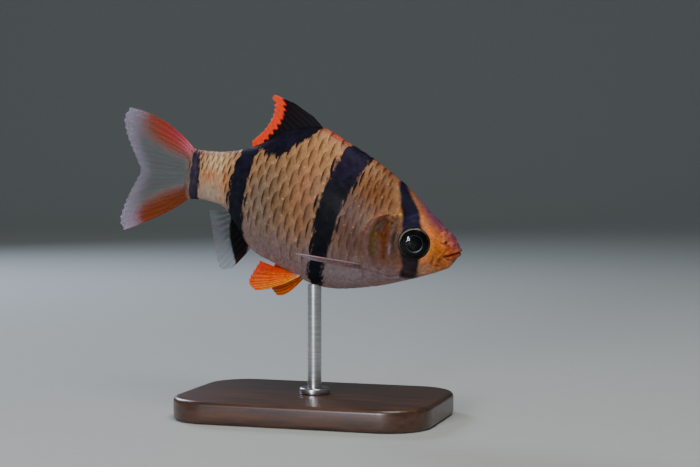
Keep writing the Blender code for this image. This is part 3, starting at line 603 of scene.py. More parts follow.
def make_piece(name, points, faces, layers, flat_map, sharp=None):
    """A smooth mesh from points, faces and named layers of numbers, vectors or colours on its points."""
    mesh = bpy.data.meshes.new(name)
    mesh.from_pydata(np.asarray(points).reshape(-1, 3).tolist(), [], faces)
    for layer, values in layers.items():
        values = np.asarray(values, np.float32)
        width = 1 if values.size == len(mesh.vertices) else values.size // len(mesh.vertices)
        kind, field = LAYER_KINDS[width]
        mesh.attributes.new(layer, kind, "POINT").data.foreach_set(field, values.ravel())
    corners = np.zeros(len(mesh.loops), np.int32)
    mesh.loops.foreach_get("vertex_index", corners)
    values = flat_map[corners] if len(flat_map) == len(mesh.vertices) else flat_map
    mesh.uv_layers.new(name="OFBake").data.foreach_set("uv", np.asarray(values, np.float32).ravel())
    mesh.shade_smooth()
    if sharp is not None:
        edges = np.zeros(len(mesh.edges) * 2, np.int32)
        mesh.edges.foreach_get("vertices", edges)
        marks = sharp[edges.reshape(-1, 2)].all(1)
        mesh.attributes.new("sharp_edge", "BOOLEAN", "EDGE").data.foreach_set("value", marks)
    piece = bpy.data.objects.new(name, mesh)
    bpy.context.scene.collection.objects.link(piece)
    print(name, len(mesh.vertices), "points,", len(mesh.polygons), "faces")
    return piece


# %% [markdown]
# ## Making a material
#
# A material is a small network of nodes. `add` makes one of them, so each line below reads
# like a step of a recipe. Every recipe ends in one glossy shader, because all of a fish is wet.

# %% The functions that make each material
def add(tree, kind, *sources, **settings):
    """Adds one shader node, sets its settings, and gives its inputs, in order, a socket or a value."""
    node = tree.nodes.new("ShaderNode" + kind)
    for setting, value in settings.items():
        setattr(node, setting, value)
    for slot, source in zip([i for i in node.inputs if i.enabled], sources):
        if isinstance(source, bpy.types.NodeSocket):
            tree.links.new(source, slot)
        elif source is not None:
            slot.default_value = source
    return next(output for output in node.outputs if output.enabled)


def rgba(colour):
    return (*linear(colour), 1.0)


def new_material(name, **constants):
    """A material with one glossy shader, whose constant values are set on the shader itself."""
    made = bpy.data.materials.new(name)
    made.use_nodes = True
    shader = made.node_tree.nodes["Principled BSDF"]
    for setting, value in constants.items():
        shader.inputs[setting.replace("_", " ")].default_value = value
    return made, made.node_tree, shader


def link(tree, shader, **sources):
    """Links each source to the shader's input that has its name."""
    for name, source in sources.items():
        tree.links.new(source, shader.inputs[name.replace("_", " ")])


# %% [markdown]
# ## Skin colours as a material
#
# The skin and the scales wear the same colours. The slow changes come from the ground colour
# on the mesh. The material adds what is too fine for it: mottling a few tenths of a millimetre
# across, pigment specks, and the ragged margins of the bands.

# %% Nodes shared by the skin and the scales
def fish_millimetres(tree):
    """Straight-fish places in mm, so that patterns follow the body however it bends."""
    return add(tree, "Attribute", attribute_name="fish").node.outputs["Vector"]


def banded(tree, ground, ragged, reach=0.0):
    """Ground colour with the blue-black bands over it, their sheen painted in patches, their margins ragged
    and moved out by so many mm.
    """
    where = fish_millimetres(tree)
    stretched = add(tree, "VectorMath", where, (1.0, 1.0, 0.35), operation="MULTIPLY")
    streaks = add(tree, "TexNoise", stretched, 2.3, 3.0, 0.6)
    depth = add(tree, "Attribute", attribute_name="band").node.outputs["Fac"]
    shift = add(tree, "Math", streaks, -0.5, operation="ADD")
    depth = add(tree, "Math", shift, ragged * 2.2, depth, operation="MULTIPLY_ADD")
    depth = add(tree, "Math", depth, reach, operation="ADD")
    mask = add(tree, "MapRange", depth, -0.32, 0.32, 0.0, 1.0, interpolation_type="SMOOTHSTEP")
    night = add(tree, "Attribute", attribute_name="night").node.outputs["Color"]
    # painted sheen: the bands' colour is brightened and dimmed in patches
    sheen = add(tree, "TexNoise", where, 0.9, 3.0, 0.6)
    sheen = add(tree, "MapRange", sheen, 0.3, 0.7, 0.6, 1.5)
    black = add(tree, "VectorMath", night, sheen, operation="MULTIPLY")
    return add(tree, "Mix", mask, ground, black, data_type="RGBA"), mask


# %% [markdown]
# ## The skin
#
# The skin is one closed surface, like a stocking drawn from snout to tail. Rings of points are
# set side by side, closest at the snout where the curve is tight, then moved along their
# normals by the relief. One surface shows no seams between head, body and gill covers.

# %% Skin surface
RING_POINTS, SNOUT_RINGS = 320, 24
MAP_WIDTH = 56.0
DULL_S, DULL_Z, DULL_LONG, DULL_HIGH = 0.245, -0.005, 0.034, 0.050


def along_skin():
    """Stations for the rings: bunched round the snout, then even, closer on the head."""
    turn = np.linspace(0, math.pi / 2, SNOUT_RINGS + 1)[1:]
    snout = SNOUT_ROUND * (1 - np.cos(turn))
    return np.concatenate([snout, np.arange(0.032, 0.31, 0.0021), np.arange(0.312, SKIN_END, 0.0064)])


def grid_faces(rows, columns, closed):
    """Quads between neighbouring points of a grid, joined round its columns if it is closed."""
    index = np.arange(rows * columns).reshape(rows, columns)
    beside = np.roll(index, -1, 1)
    corners = np.stack([index[:-1], index[1:], beside[1:], beside[:-1]], -1)
    if not closed:
        corners = corners[:, :-1]
    return corners.reshape(-1, 4).tolist()


def flat_place(s, side, from_back):
    """Where a place on the skin lands on its flat map, from the arc in mm measured from the back."""
    u = 0.03 + s * BODY_MM / MAP_WIDTH
    return np.stack(np.broadcast_arrays(u, 0.5 + side * from_back / MAP_WIDTH), -1)


def surface_layers(s, y, z, tint, band, night):
    """The layers shared by the skin and the scales."""
    alpha = np.ones((*np.shape(s), 1))
    return {
        "fish": np.stack(np.broadcast_arrays(s, y, z), -1) * BODY_MM,
        "tint": np.concatenate([tint, alpha], -1),
        "night": np.concatenate([night, alpha], -1),
        "band": band,
    }


def relief_points(s, y, z):
    """The rings of the smooth skin, raised and cut by the relief along their normals."""
    smooth = np.stack([s, y, z], -1)
    ahead = np.gradient(smooth, axis=0)
    around = np.roll(smooth, -1, 1) - np.roll(smooth, 1, 1)
    normal = np.cross(around, ahead)
    normal /= np.maximum(np.linalg.norm(normal, axis=-1, keepdims=True), 1e-9)
    return with_eye_rims(smooth + normal * (relief(s, z) / BODY_MM)[..., None])


def skin_faces(rings):
    """Quads between the rings and a fan of triangles over each end."""
    faces = grid_faces(rings, RING_POINTS, closed=True)
    nose = rings * RING_POINTS
    for k in range(RING_POINTS):
        after = (k + 1) % RING_POINTS
        faces.append((nose, k, after))
        faces.append((nose + 1, nose - RING_POINTS + after, nose - RING_POINTS + k))
    return faces


def skin_map(s, y, z, faces):
    """The skin's flat map, one place for each corner of each face, cut open along the belly."""
    half_ring = RING_POINTS // 2
    ring = np.stack([s, y, z], -1)[:, : half_ring + 1]
    step = np.linalg.norm(np.diff(ring, axis=1), axis=-1) * BODY_MM
    arc = np.concatenate([np.zeros((len(s), 1)), np.cumsum(step, 1)], 1)
    full = np.concatenate([arc, -arc[:, -2:0:-1]], 1)
    ends = flat_place(np.array([0, SKIN_END]), -1, np.zeros(2))
    flat = np.concatenate([flat_place(s, -1, full).reshape(-1, 2), ends])
    corners = np.concatenate(faces)
    sizes = [len(face) for face in faces]
    column = np.where(corners < s.size, corners % RING_POINTS, -1)
    starts = np.cumsum([0] + sizes[:-1])
    past_belly = np.repeat(np.logical_or.reduceat(column == half_ring + 1, starts), sizes)
    flat_corners = flat[corners]
    seam = past_belly & (column == half_ring)
    flat_corners[seam, 1] = 1.0 - flat_corners[seam, 1]
    return flat_corners


def make_skin():
    """One closed surface from snout to tail, with its colours and measures."""
    s = along_skin()[:, None] * np.ones(RING_POINTS)
    angle = np.linspace(math.pi / 2, 5 * math.pi / 2, RING_POINTS, endpoint=False)
    y, z = skin_round(s, angle)
    nose, end = [0, 0, SNOUT_LEVEL], [SKIN_END, 0, float(z[-1].mean())]
    points = np.concatenate([relief_points(s, y, z).reshape(-1, 3), [nose, end]])
    faces = skin_faces(len(s))
    own_s, own_y, own_z = points.T
    layers = surface_layers(own_s, own_y, own_z, ground_colour(own_s, own_z),
                            band_distance(own_s, own_z), band_colour(own_s, own_z))
    layers["dull"] = swell(np.hypot((own_s - DULL_S) / DULL_LONG, (own_z - DULL_Z) / DULL_HIGH), 1)
    return make_piece("fish_skin", place(points), faces, layers, skin_map(s, y, z, faces))


skin = make_skin()

# %% [markdown]
# ## Scales
#
# A barb's scales lie like roof tiles: each is a thin round plate rooted in a pocket of skin,
# and its free rear edge lies over the next. They run in rows along the body, and each row is
# shifted by half a scale from its neighbours. The rows draw together towards the tail.
# Here a single plate is shaped once and laid at every place of that pattern, bent to the body.
# On the OFBake map each scale is a patch at its root's place on the skin's own map, as wide as
# the scales stand apart, because they are few and large and each has a dark rim of its own.

# %% Rows of scales over the skin
ROW_PITCH, COLUMN_PITCH = 2.2, 1.92
PLATE_LONG, PLATE_HIGH, PLATE_HIDDEN = 3.1, 2.05, 0.7
PLATE_STEPS, PLATE_COLUMNS = 7, 10
PLATE_SIDE, PLATE_SQUARE, ROOT_SHARE, ROOT_WIDTH = 0.42, 3.0, 0.75, 0.80
PLATE_MIDDLE, UNDER_LIFT = 0.9, -0.16
SIZE_SPREAD, TILT_SPREAD = 0.03, 0.008
ROOT_LIFT, TIP_RISE, FLANK_RISE, SIDE_SINK = -0.13, 0.10, 0.03, 0.16
TABLE_S, TABLE_ANGLE = np.linspace(0.15, 1.06, 366), np.radians(np.linspace(-90, 90, 181))


def arc_tables():
    """Arc lengths in mm up to the back and down to the belly, and the angle at each share of them."""
    y, z = skin_round(TABLE_S[:, None], TABLE_ANGLE)
    step = np.hypot(np.diff(y, axis=1), np.diff(z, axis=1)) * BODY_MM
    arc = np.concatenate([np.zeros((len(TABLE_S), 1)), np.cumsum(step, 1)], 1)
    arc -= arc[:, 90:91]
    up, down = arc[:, -1], -arc[:, 0]
    share = np.where(arc > 0, arc / up[:, None], arc / down[:, None])
    shares = np.linspace(-1, 1, 201)
    return up, down, np.array([np.interp(shares, row, TABLE_ANGLE) for row in share])


ARC_UP, ARC_DOWN, ARC_ANGLE = arc_tables()


def row_pitch(s):
    """Distance in mm between rows, less towards the tail."""
    return ROW_PITCH * (1 - 0.36 * ease(s, 0.50, 0.86)) * (1 - 0.20 * (1 - ease(s, 0.25, 0.44)))


def column_pitch(s):
    """Distance in mm from scale to scale along a row, less on the nape and towards the tail."""
    nape = 1 - 0.38 * (1 - ease(s, 0.30, 0.46))
    return COLUMN_PITCH * nape * (1 - 0.26 * ease(s, 0.62, 0.84))


def skin_angle(s, q):
    """The angle round the section at an arc of q mm over the widest level, past the back as well."""
    reach = np.where(q > 0, np.interp(s, TABLE_S, ARC_UP), np.interp(s, TABLE_S, ARC_DOWN))
    share = q / reach
    folded = np.where(share > 1, 2 - share, np.where(share < -1, -2 - share, share))
    row = np.clip((s - TABLE_S[0]) / (TABLE_S[1] - TABLE_S[0]), 0, len(TABLE_S) - 1.001)
    column = np.clip((folded + 1) * 100, 0, 199.999)
    i, j = row.astype(int), column.astype(int)
    f, g = row - i, column - j
    near = ARC_ANGLE[i, j] * (1 - g) + ARC_ANGLE[i, j + 1] * g
    far = ARC_ANGLE[i + 1, j] * (1 - g) + ARC_ANGLE[i + 1, j + 1] * g
    angle = near * (1 - f) + far * f
    return np.where(share > 1, math.pi - angle, np.where(share < -1, -math.pi - angle, angle))


def skin_point(s, q, side, lift):
    """A straight-fish point at s and arc q on one side, lifted in mm off the skin."""
    def on(station, arc):
        y, z = skin_round(station, skin_angle(station, arc))
        return np.stack([station, y, z], -1)

    here = on(s, q)
    normal = np.cross(on(s, q + 0.05) - on(s, q - 0.05), on(s + 1e-3, q) - on(s - 1e-3, q))
    normal /= np.maximum(np.linalg.norm(normal, axis=-1, keepdims=True), 1e-12)
    point = here + normal * (np.asarray(lift) / BODY_MM)[..., None]
    return point * [1, side, 1]


def scale_roots():
    """The root (s, arc) of every scale on one side, from the back row down to the belly."""
    roots = []
    stations = [0.16]
    while stations[-1] < 1.02:
        stations.append(stations[-1] + 0.5 * float(column_pitch(stations[-1])) / BODY_MM)
    for k in range(-9, 10):
        s = np.array(stations[k % 2 :: 2])
        q = k * row_pitch(s)
        up, down = np.interp(s, TABLE_S, ARC_UP), np.interp(s, TABLE_S, ARC_DOWN)
        roots.append(np.stack([s, q], -1)[(q < up + 0.2) & (q > -down - 0.2) & (s < 1.005)])
    roots = np.concatenate(roots)
    y, z = skin_round(roots[:, 0], skin_angle(roots[:, 0], roots[:, 1]))
    bare = inside_distance(closed_curve(GILL_OUTLINE, 66), roots[:, 0], z) > -0.6
    behind_head = roots[:, 0] > smooth_curve(SCALE_FRONT)(z) - 0.004
    return roots[behind_head & ~bare]


print(len(scale_roots()), "scales on each side")

# %% [markdown]
# ## Laying the scales
#
# A real scale is stiff horn a tenth of a millimetre thick. Each plate here is a curved sheet
# that is closed below by a fan of hidden triangles, so it is solid. Its rear edge lifts a
# little off the flank and casts the fine shadow that draws the pattern. On the belly the
# scales lie flat and their dark rims fade.

# %% Plates laid over the skin
def plate_outline():
    """Steps along and across a plate, and how far its round rear edge reaches at each step across."""
    along = np.linspace(0, 1, PLATE_STEPS)
    across = np.sin(np.linspace(-1, 1, PLATE_COLUMNS) * math.pi / 2)
    edge = (1 - np.abs(across) ** PLATE_SQUARE * 0.97) ** (1 / PLATE_SQUARE)
    return along, across, PLATE_SIDE + (1 - PLATE_SIDE) * edge


def drawn(s, q):
    """1 where scales have dark rims and stand up, less on the smooth belly and the breast."""
    breast = (1 - ease(s, 0.34, 0.44)) * (1 - ease(q, -4.5, 0.5))
    down, up = np.interp(s, TABLE_S, ARC_DOWN), np.interp(s, TABLE_S, ARC_UP)
    smooth_below = 0.12 + 0.30 * ease(s, 0.74, 0.82)
    return ease((down + q) / (down + up), smooth_below, smooth_below + 0.22) * (1 - 0.8 * breast)


def plate_points(roots, side, random):
    """Points of all plates, how drawn each is, and how much its length and height shrink."""
    along, across, reach = plate_outline()
    count = len(roots)
    spread = 1 + random.normal(0, SIZE_SPREAD, (count, 1, 1))
    s0, q0 = roots[:, 0, None, None], roots[:, 1, None, None]
    shorter, lower = column_pitch(s0) / COLUMN_PITCH, row_pitch(s0) / ROW_PITCH
    forward = along[:, None] * reach[None, :] * PLATE_LONG * spread * shorter
    turn = np.clip(along, 0, ROOT_SHARE) / ROOT_SHARE * math.pi / 2
    narrow = ROOT_WIDTH + (1 - ROOT_WIDTH) * np.sin(turn)
    s = s0 + (forward - PLATE_HIDDEN) / BODY_MM
    q = q0 * row_pitch(s) / row_pitch(s0) + across * narrow[:, None] * PLATE_HIGH * lower * spread
    belly = drawn(s0, q0)
    tilt = random.normal(0, TILT_SPREAD, (count, 1, 1))
    rise = (TIP_RISE + FLANK_RISE * belly + tilt) * along[:, None] * (1 - SIDE_SINK * across**2)
    top = skin_point(s, q, side, ROOT_LIFT + rise)
    middle_s = roots[:, 0] + PLATE_MIDDLE / BODY_MM
    under = skin_point(middle_s, roots[:, 1], side, np.full(count, UNDER_LIFT))
    points = np.concatenate([top.reshape(count, -1, 3), under[:, None]], 1)
    return points, belly.reshape(count, 1), shorter[:, 0], lower[:, 0]


def plate_faces(count, side):
    """Faces of all plates, each closed below by a fan to its hidden point, and a plate's rim."""
    each = PLATE_STEPS * PLATE_COLUMNS + 1
    index = np.arange(each - 1).reshape(PLATE_STEPS, PLATE_COLUMNS)
    quads = np.array(grid_faces(PLATE_STEPS, PLATE_COLUMNS, closed=False))
    rim = np.concatenate([index[0], index[1:, -1], index[-1, -2::-1], index[-2:0:-1, 0]])
    fan = np.stack([np.full(len(rim), each - 1), rim, np.roll(rim, -1)], -1)
    if side < 0:
        quads, fan = quads[:, ::-1], fan[:, ::-1]
    faces = []
    for k in range(count):
        faces.extend((fan + k * each).tolist())
        faces.extend((quads + k * each).tolist())
    return faces, rim


def plate_layers(roots, points, belly, shorter, random):
    """Colours and measures on all plates; a plate's colour is mixed from its root's and its own places."""
    along, across, reach = plate_outline()
    count, each = points.shape[:2]
    root_z = skin_round(roots[:, 0], skin_angle(*roots.T))[1]
    own_s, own_y, own_z = np.moveaxis(points, -1, 0)
    mixed_s = 0.6 * (roots[:, :1] + 0.6 / BODY_MM) + 0.4 * own_s
    mixed_z = 0.6 * root_z[:, None] + 0.4 * own_z
    band = 0.35 * band_distance(mixed_s, mixed_z) + 0.65 * band_distance(own_s, own_z)
    layers = surface_layers(own_s, own_y, own_z, ground_colour(mixed_s, mixed_z), band,
                            band_colour(mixed_s, mixed_z))
    plate = np.zeros((count, each, 3))
    plate[:, :-1, 0] = np.repeat(along, PLATE_COLUMNS)
    plate[:, :-1, 1] = np.tile(across, PLATE_STEPS)
    plate[:, :, 2] = random.random((count, 1))
    rim = np.zeros((count, each))
    rim[:, :-1] = ((1 - along[:, None]) * reach[None, :] * PLATE_LONG).ravel() * shorter
    layers.update(plate=plate, rim=rim, belly=np.repeat(belly, each, 1))
    return {name: values.reshape(count * each, -1) for name, values in layers.items()}


def plate_map(roots, side, lower):
    """A patch on the flat map for each plate, at its root's place."""
    along, across, _ = plate_outline()
    from_back = np.interp(roots[:, 0], TABLE_S, ARC_UP) - roots[:, 1]
    middle = flat_place(roots[:, 0] + PLATE_MIDDLE / BODY_MM, side, from_back)
    pitch = column_pitch(roots[:, :1])
    patch = np.zeros((len(roots), PLATE_STEPS * PLATE_COLUMNS + 1, 2))
    patch[:, :-1, 0] = (np.repeat(along, PLATE_COLUMNS) - 0.5) * 0.9 * pitch / MAP_WIDTH
    patch[:, :-1, 1] = -side * np.tile(across, PLATE_STEPS) * 0.45 * ROW_PITCH * lower / MAP_WIDTH
    patch[:, -1, 0] = -0.45 * pitch[:, 0] / MAP_WIDTH
    return (middle[:, None] + patch).reshape(-1, 2)


def make_scales(name, side):
    """All the scales of one side as one mesh of closed plates."""
    roots = scale_roots()
    random = np.random.default_rng(7 + int(side > 0))
    points, belly, shorter, lower = plate_points(roots, side, random)
    layers = plate_layers(roots, points, belly, shorter, random)
    faces, rim = plate_faces(len(roots), side)
    sharp = np.zeros(points.shape[:2], bool)
    sharp[:, rim] = True
    return make_piece(name, place(points), faces, layers, plate_map(roots, side, lower), sharp.ravel())


scales_right = make_scales("scales_right", -1)
scales_left = make_scales("scales_left", 1)

# %% [markdown]
# ## Fins
#
# A fin is a thin web stretched over bony rays, and the soft rays split in two towards the
# edge. Each fin is a sheet drawn from its root to its tips. The rays stand up as ridges, and
# the web between them is cut back a little, which gives the margin its fringe.

# %% Fin outlines
DORSAL_BASE, DORSAL_BOW, DORSAL_RAYS = (0.536, 0.757), 0.02, 12
DORSAL_TIPS = [
    (0, 0.575, 0.277), (0.09, 0.655, 0.302), (0.18, 0.733, 0.309), (0.30, 0.722, 0.284),
    (0.50, 0.715, 0.248), (0.75, 0.729, 0.195), (1, 0.764, 0.146),
]
ANAL_BASE, ANAL_BOW, ANAL_RAYS = (0.674, 0.800), -0.006, 9
ANAL_TIPS = [
    (0, 0.722, -0.271), (0.14, 0.764, -0.286), (0.30, 0.790, -0.270), (0.55, 0.832, -0.210),
    (0.80, 0.868, -0.152), (1, 0.893, -0.108),
]
LOBE_RAYS, LOBE_ROOT_S = 10, 1.024
UPPER_LOBE = ((0.086, 0.003), 0.027, [
    (0, 1.322, 0.219), (0.12, 1.342, 0.192), (0.35, 1.334, 0.140), (0.60, 1.307, 0.090),
    (0.80, 1.280, 0.050), (1, 1.252, 0.006),
])
LOWER_LOBE = ((-0.084, -0.003), -0.008, [
    (0, 1.312, -0.205), (0.12, 1.331, -0.178), (0.35, 1.322, -0.128), (0.60, 1.300, -0.080),
    (0.80, 1.278, -0.042), (1, 1.252, 0.0),
])
PAIRED_RAYS = 8
PECTORAL_ROOT = [(0.287, -0.120), (0.293, -0.136)]
PECTORAL_TIPS = [(0, 0.455, 0.168, -0.132), (0.45, 0.476, 0.138, -0.140), (1, 0.430, 0.106, -0.148)]
PELVIC_ROOT = [(0.478, -70), (0.508, -82)]
PELVIC_TIPS = [(0, 0.591, 0.080, -0.299), (0.45, 0.620, 0.070, -0.280), (1, 0.611, 0.045, -0.209)]
PELVIC_BOW = 0.012
LEFT_PELVIC_DROP, LEFT_PELVIC_BACK, LEFT_PELVIC_BOW = 0.020, -0.016, 0.030


def tip_curves(rows):
    return [smooth_curve([(row[0], row[axis]) for row in rows]) for axis in range(1, len(rows[0]))]


def between(ends, u):
    first, last = np.array(ends, float)
    return first + np.asarray(u)[..., None] * (last - first)


def spread_points(*parts):
    return np.stack(np.broadcast_arrays(*parts), -1)


def dorsal_lines(u):
    s = DORSAL_BASE[0] + u * (DORSAL_BASE[1] - DORSAL_BASE[0])
    tip_s, tip_z = tip_curves(DORSAL_TIPS)
    root, tip = spread_points(s, 0, back_line(s)), spread_points(tip_s(u), 0, tip_z(u))
    bow = DORSAL_BOW * np.linalg.norm(tip - root, axis=-1)
    return root, tip, spread_points(0, 0, bow)


def anal_lines(u):
    s = ANAL_BASE[0] + u * (ANAL_BASE[1] - ANAL_BASE[0])
    tip_s, tip_z = tip_curves(ANAL_TIPS)
    root, tip = spread_points(s, 0, belly_line(s)), spread_points(tip_s(u), 0, tip_z(u))
    return root, tip, spread_points(0, 0, ANAL_BOW + 0 * u)


def tail_lines(u):
    """Both lobes in one: u runs down from the upper outer ray to the lower one."""
    upper = u <= 0.5
    roots, tips, bows = [], [], []
    for (first, last), bow, rows in (UPPER_LOBE, LOWER_LOBE):
        across = np.clip(2 * u if rows is UPPER_LOBE[2] else 2 - 2 * u, 0, 1)
        tip_s, tip_z = tip_curves(rows)
        roots.append(spread_points(LOBE_ROOT_S, 0, first + across * (last - first)))
        tips.append(spread_points(tip_s(across), 0, tip_z(across)))
        bows.append(spread_points(0, 0, bow * (1 - across) ** 1.5))
    return tuple(np.where(upper[..., None], pair[0], pair[1]) for pair in (roots, tips, bows))


def pectoral_lines(side):
    def lines(u):
        s, z = np.moveaxis(between(PECTORAL_ROOT, u), -1, 0)
        root = over_skin(s, z, side, 0.1 * MM)
        tip_s, tip_y, tip_z = tip_curves(PECTORAL_TIPS)
        return root, spread_points(tip_s(u), side * tip_y(u), tip_z(u)), spread_points(0, 0, 0 * u)
    return lines


def pelvic_lines(side):
    left = side > 0
    drop, back = (LEFT_PELVIC_DROP, LEFT_PELVIC_BACK) if left else (0, 0)
    bow = LEFT_PELVIC_BOW if left else PELVIC_BOW

    def lines(u):
        s, degrees = np.moveaxis(between(PELVIC_ROOT, u), -1, 0)
        y, z = skin_round(s, np.radians(degrees))
        tip_s, tip_y, tip_z = tip_curves(PELVIC_TIPS)
        tip = spread_points(tip_s(u) + back, side * tip_y(u), tip_z(u) - drop * (1 - u))
        return spread_points(s, side * y, z), tip, spread_points(0, 0, -bow * (1 - u))
    return lines


print("rays:", DORSAL_RAYS, "dorsal,", ANAL_RAYS, "anal,", LOBE_RAYS, "in each lobe of the tail")

# %% [markdown]
# ## Fin surfaces
#
# The sheet is thickest on a ray at its root and thins to a clear film at its tips. Its colour
# is painted by where a point lies: how far across the fin and how far out along its ray.

# %% The function that builds a fin
COLUMNS_PER_RAY, FIN_ROWS = 16, 64
WEB_HALF, RIM_HALF = 0.07, 0.012


def fin_colour(base, *covers):
    colour = np.broadcast_to(linear(base), (*np.shape(covers[0][1]), 3))
    for cover, amount in covers:
        colour = laid_over(colour, cover, np.clip(amount, 0, 1))
    return colour


def ray_ridges(u, out, rays, split_from):
    """1 on a ray and 0 between rays: as the fin wears them, as whole rays and as forked ones."""
    middle = np.abs((u * rays) % 1.0 - 0.5) * 2
    whole = swell(1 - middle, 0.30)
    forked = swell(np.abs(1 - middle) - 0.26, 0.15)
    fork = ease(out, split_from, split_from + 0.25)
    return (1 - fork) * whole + fork * forked, whole, forked


def web_points(lines, u, reach, seat):
    """The middle sheet on the straight fish, from roots sunk by seat out to the tips."""
    root, tip, bow = lines(u)
    inward = (root - tip) / np.linalg.norm(root - tip, axis=-1, keepdims=True)
    root = root + inward * seat
    return root + reach[..., None] * (tip - root) + bow * (4 * reach * (1 - reach))[..., None]


def web_faces(columns):
    """Faces of the wall round a sheet's rim, of its back and of its front."""
    index = np.arange(FIN_ROWS * columns).reshape(FIN_ROWS, columns)
    front = np.stack([index[:-1, :-1], index[:-1, 1:], index[1:, 1:], index[1:, :-1]], -1).reshape(-1, 4)
    back = front[:, ::-1] + index.size
    rim = np.concatenate([index[0, :-1], index[:-1, -1], index[-1, :0:-1], index[:0:-1, 0]])
    after = np.roll(rim, -1)
    return np.stack([rim, rim + index.size, after + index.size, after], -1), back, front


def web_maps(u, out, rim_points):
    """Flat maps of the two sides, side by side, and of the wall, in a strip between them."""
    flat = spread_points(0.02 + 0.46 * u, 0.02 + 0.94 * out).reshape(-1, 2)
    along = np.linspace(0.02, 0.96, rim_points + 1)
    strip = ((0.492, along[:-1]), (0.508, along[:-1]), (0.508, along[1:]), (0.492, along[1:]))
    wall = np.stack([spread_points(across, part) for across, part in strip], 1)
    return np.concatenate([flat, flat + [0.5, 0]]), wall


def rayed_fin(name, lines, rays, paint, split_from=0.35, notch=0.025, seat=0.012, thick=1.0, ribbed=0.17):
    """A closed sheet over rays; paint(u, out, ridge, s, z) gives its colours and how solid it looks."""
    u, out = np.linspace(0, 1, rays * COLUMNS_PER_RAY + 1), np.linspace(0, 1, FIN_ROWS)[:, None]
    ridge, whole, forked = ray_ridges(u, out, rays, split_from)
    fringe = 1 - notch * (0.55 * (1 - whole) + 0.45 * (1 - forked)) * ease(out, 0.3, 1.0)
    line = web_points(lines, u, out * fringe, seat)
    half = (WEB_HALF + ribbed * ridge) * (1 - 0.55 * out) * thick
    half = half * np.sqrt(np.clip((1 - out) * 14, 0, 1)) + RIM_HALF
    middle = place(line)
    outwards, sideways = np.gradient(middle, axis=0), np.gradient(middle, axis=1)
    normal = np.cross(outwards, sideways)
    normal /= np.maximum(np.linalg.norm(normal, axis=-1, keepdims=True), 1e-12)
    points = [(middle + way * normal * half[..., None] * MM).reshape(-1, 3) for way in (1, -1)]
    wall, back, front = web_faces(len(u))
    flat, wall_flat = web_maps(u, out, len(wall))
    if np.linalg.det(np.stack([normal[1, 1], sideways[1, 1], outwards[1, 1]])) < 0:
        front, back, wall, wall_flat = (part[:, ::-1] for part in (front, back, wall, wall_flat))
    across, out = np.broadcast_arrays(u, out)
    colour, solid = paint(across, out, ridge, line[..., 0], line[..., 2])
    tint = np.concatenate([colour, np.clip(solid, 0.02, 1)[..., None]], -1)
    layers = {"tint": tint, "fish": line * BODY_MM, "ray": spread_points(across * rays, out, ridge)}
    both_sides = {key: np.concatenate([part.reshape(-1, part.shape[-1])] * 2) for key, part in layers.items()}
    corners = np.concatenate([part.reshape(-1, 2) for part in (wall_flat, flat[back], flat[front])])
    faces = np.concatenate([wall, back, front]).tolist()
    return make_piece(name, np.concatenate(points), faces, both_sides, corners)


# %% [markdown]
# ## Colours of the fins
#
# The dorsal fin is black with a red margin, and the red of the tail and pelvic fins fades to
# clear or to orange. Each paint below lays soft covers of colour over a base, just as on the
# skin, and also says how solid the web looks at each place, from clear to opaque.

# %% Colours of each fin
DORSAL_RED_EDGE = [
    (0.137, 0.726), (0.173, 0.710), (0.208, 0.688), (0.236, 0.677), (0.274, 0.678), (0.32, 0.692),
]


def dorsal_paint(u, out, ridge, s, z):
    ragged = 0.004 * np.sin(u * DORSAL_RAYS * 2 * math.pi) + 0.003 * np.sin(z * 310)
    red = ease(s - smooth_curve(DORSAL_RED_EDGE)(z) + ragged, -0.004, 0.006)
    colour = fin_colour("08080c", ("ff431c", red), ("ff7a5c", 0.4 * red * ease(out, 0.90, 1)))
    return colour, 1.0 - 0.10 * red * (1 - ridge)


def anal_paint(u, out, ridge, s, z):
    black = np.maximum(ease(band_distance(s, z), -0.5, 0.1), 0.8 * (1 - ease(out, 0.04, 0.14)))
    streak = (1 - ridge) * (1 - ease(out, 0.35, 0.80)) * 0.75
    first_ray = 0.2 * swell(u, 0.12) * out
    colour = fin_colour("747c82", ("1c1c22", streak), ("060608", black), ("4a3230", first_ray))
    return colour, 0.22 + 0.22 * ridge * (1 - 0.5 * out) + 0.75 * black


def tail_paint(u, out, ridge, s, z):
    outer = np.abs(u - 0.5) * 2
    upper = u < 0.5
    inner_edge = np.where(upper, 0.34, 0.30) + 0.22 * ease(out, 0.2, 0.9)
    red = ease(outer, inner_edge - 0.10, inner_edge + 0.46)
    red = red * (1 - ease(out, np.where(upper, 0.45, 0.60), 0.97))
    inner = 1 - ease(outer, 0.62, 0.95)
    outwards = ease(out, 0.18, 0.62) * upper
    colour = fin_colour(
        "848886",
        ("a0363e", red), ("8a4c30", red * inner * 0.8), ("8a4226", red * outwards * 0.85),
        ("703a18", red * np.where(upper, 0.0, 0.92)),
        ("dc7c8c", 0.8 * swell(out, 0.16) * ease(outer, 0.45, 0.8) * upper),
        ("b8aec8", 0.8 * ease(out, 0.66, 0.95)),
    )
    clear_edge = 0.30 * ease(out, 0.72, 1.0) * (0.3 + 0.7 * outer)
    return colour, 0.05 + 0.10 * ridge * (1 - 0.4 * out) + 0.80 * red + clear_edge


def pelvic_paint(u, out, ridge, s, z):
    between_rays = (1 - ridge) * ease(out, 0.15, 0.6)
    colour = fin_colour(
        "e65404",
        ("e8820c", 0.6 * (1 - ease(u, 0.05, 0.45))),
        # painted highlight: yellow along the rays
        ("ffa81e", 0.8 * ridge * (1 - ease(u, 0.4, 0.95))),
        ("a82a06", 0.5 * between_rays),
        ("bb2508", 0.75 * ease(u, 0.5, 1.0) * ease(out, 0.2, 0.8)),
        ("d03010", 0.5 * ease(out, 0.75, 1.0)),
        # painted light: a pale lilac glow at the root, where the fin lies in shade
        ("c8a4b4", 0.75 * swell(out, 0.10)),
    )
    return colour, 0.97 - 0.12 * (1 - ridge) * ease(out, 0.3, 1.0)


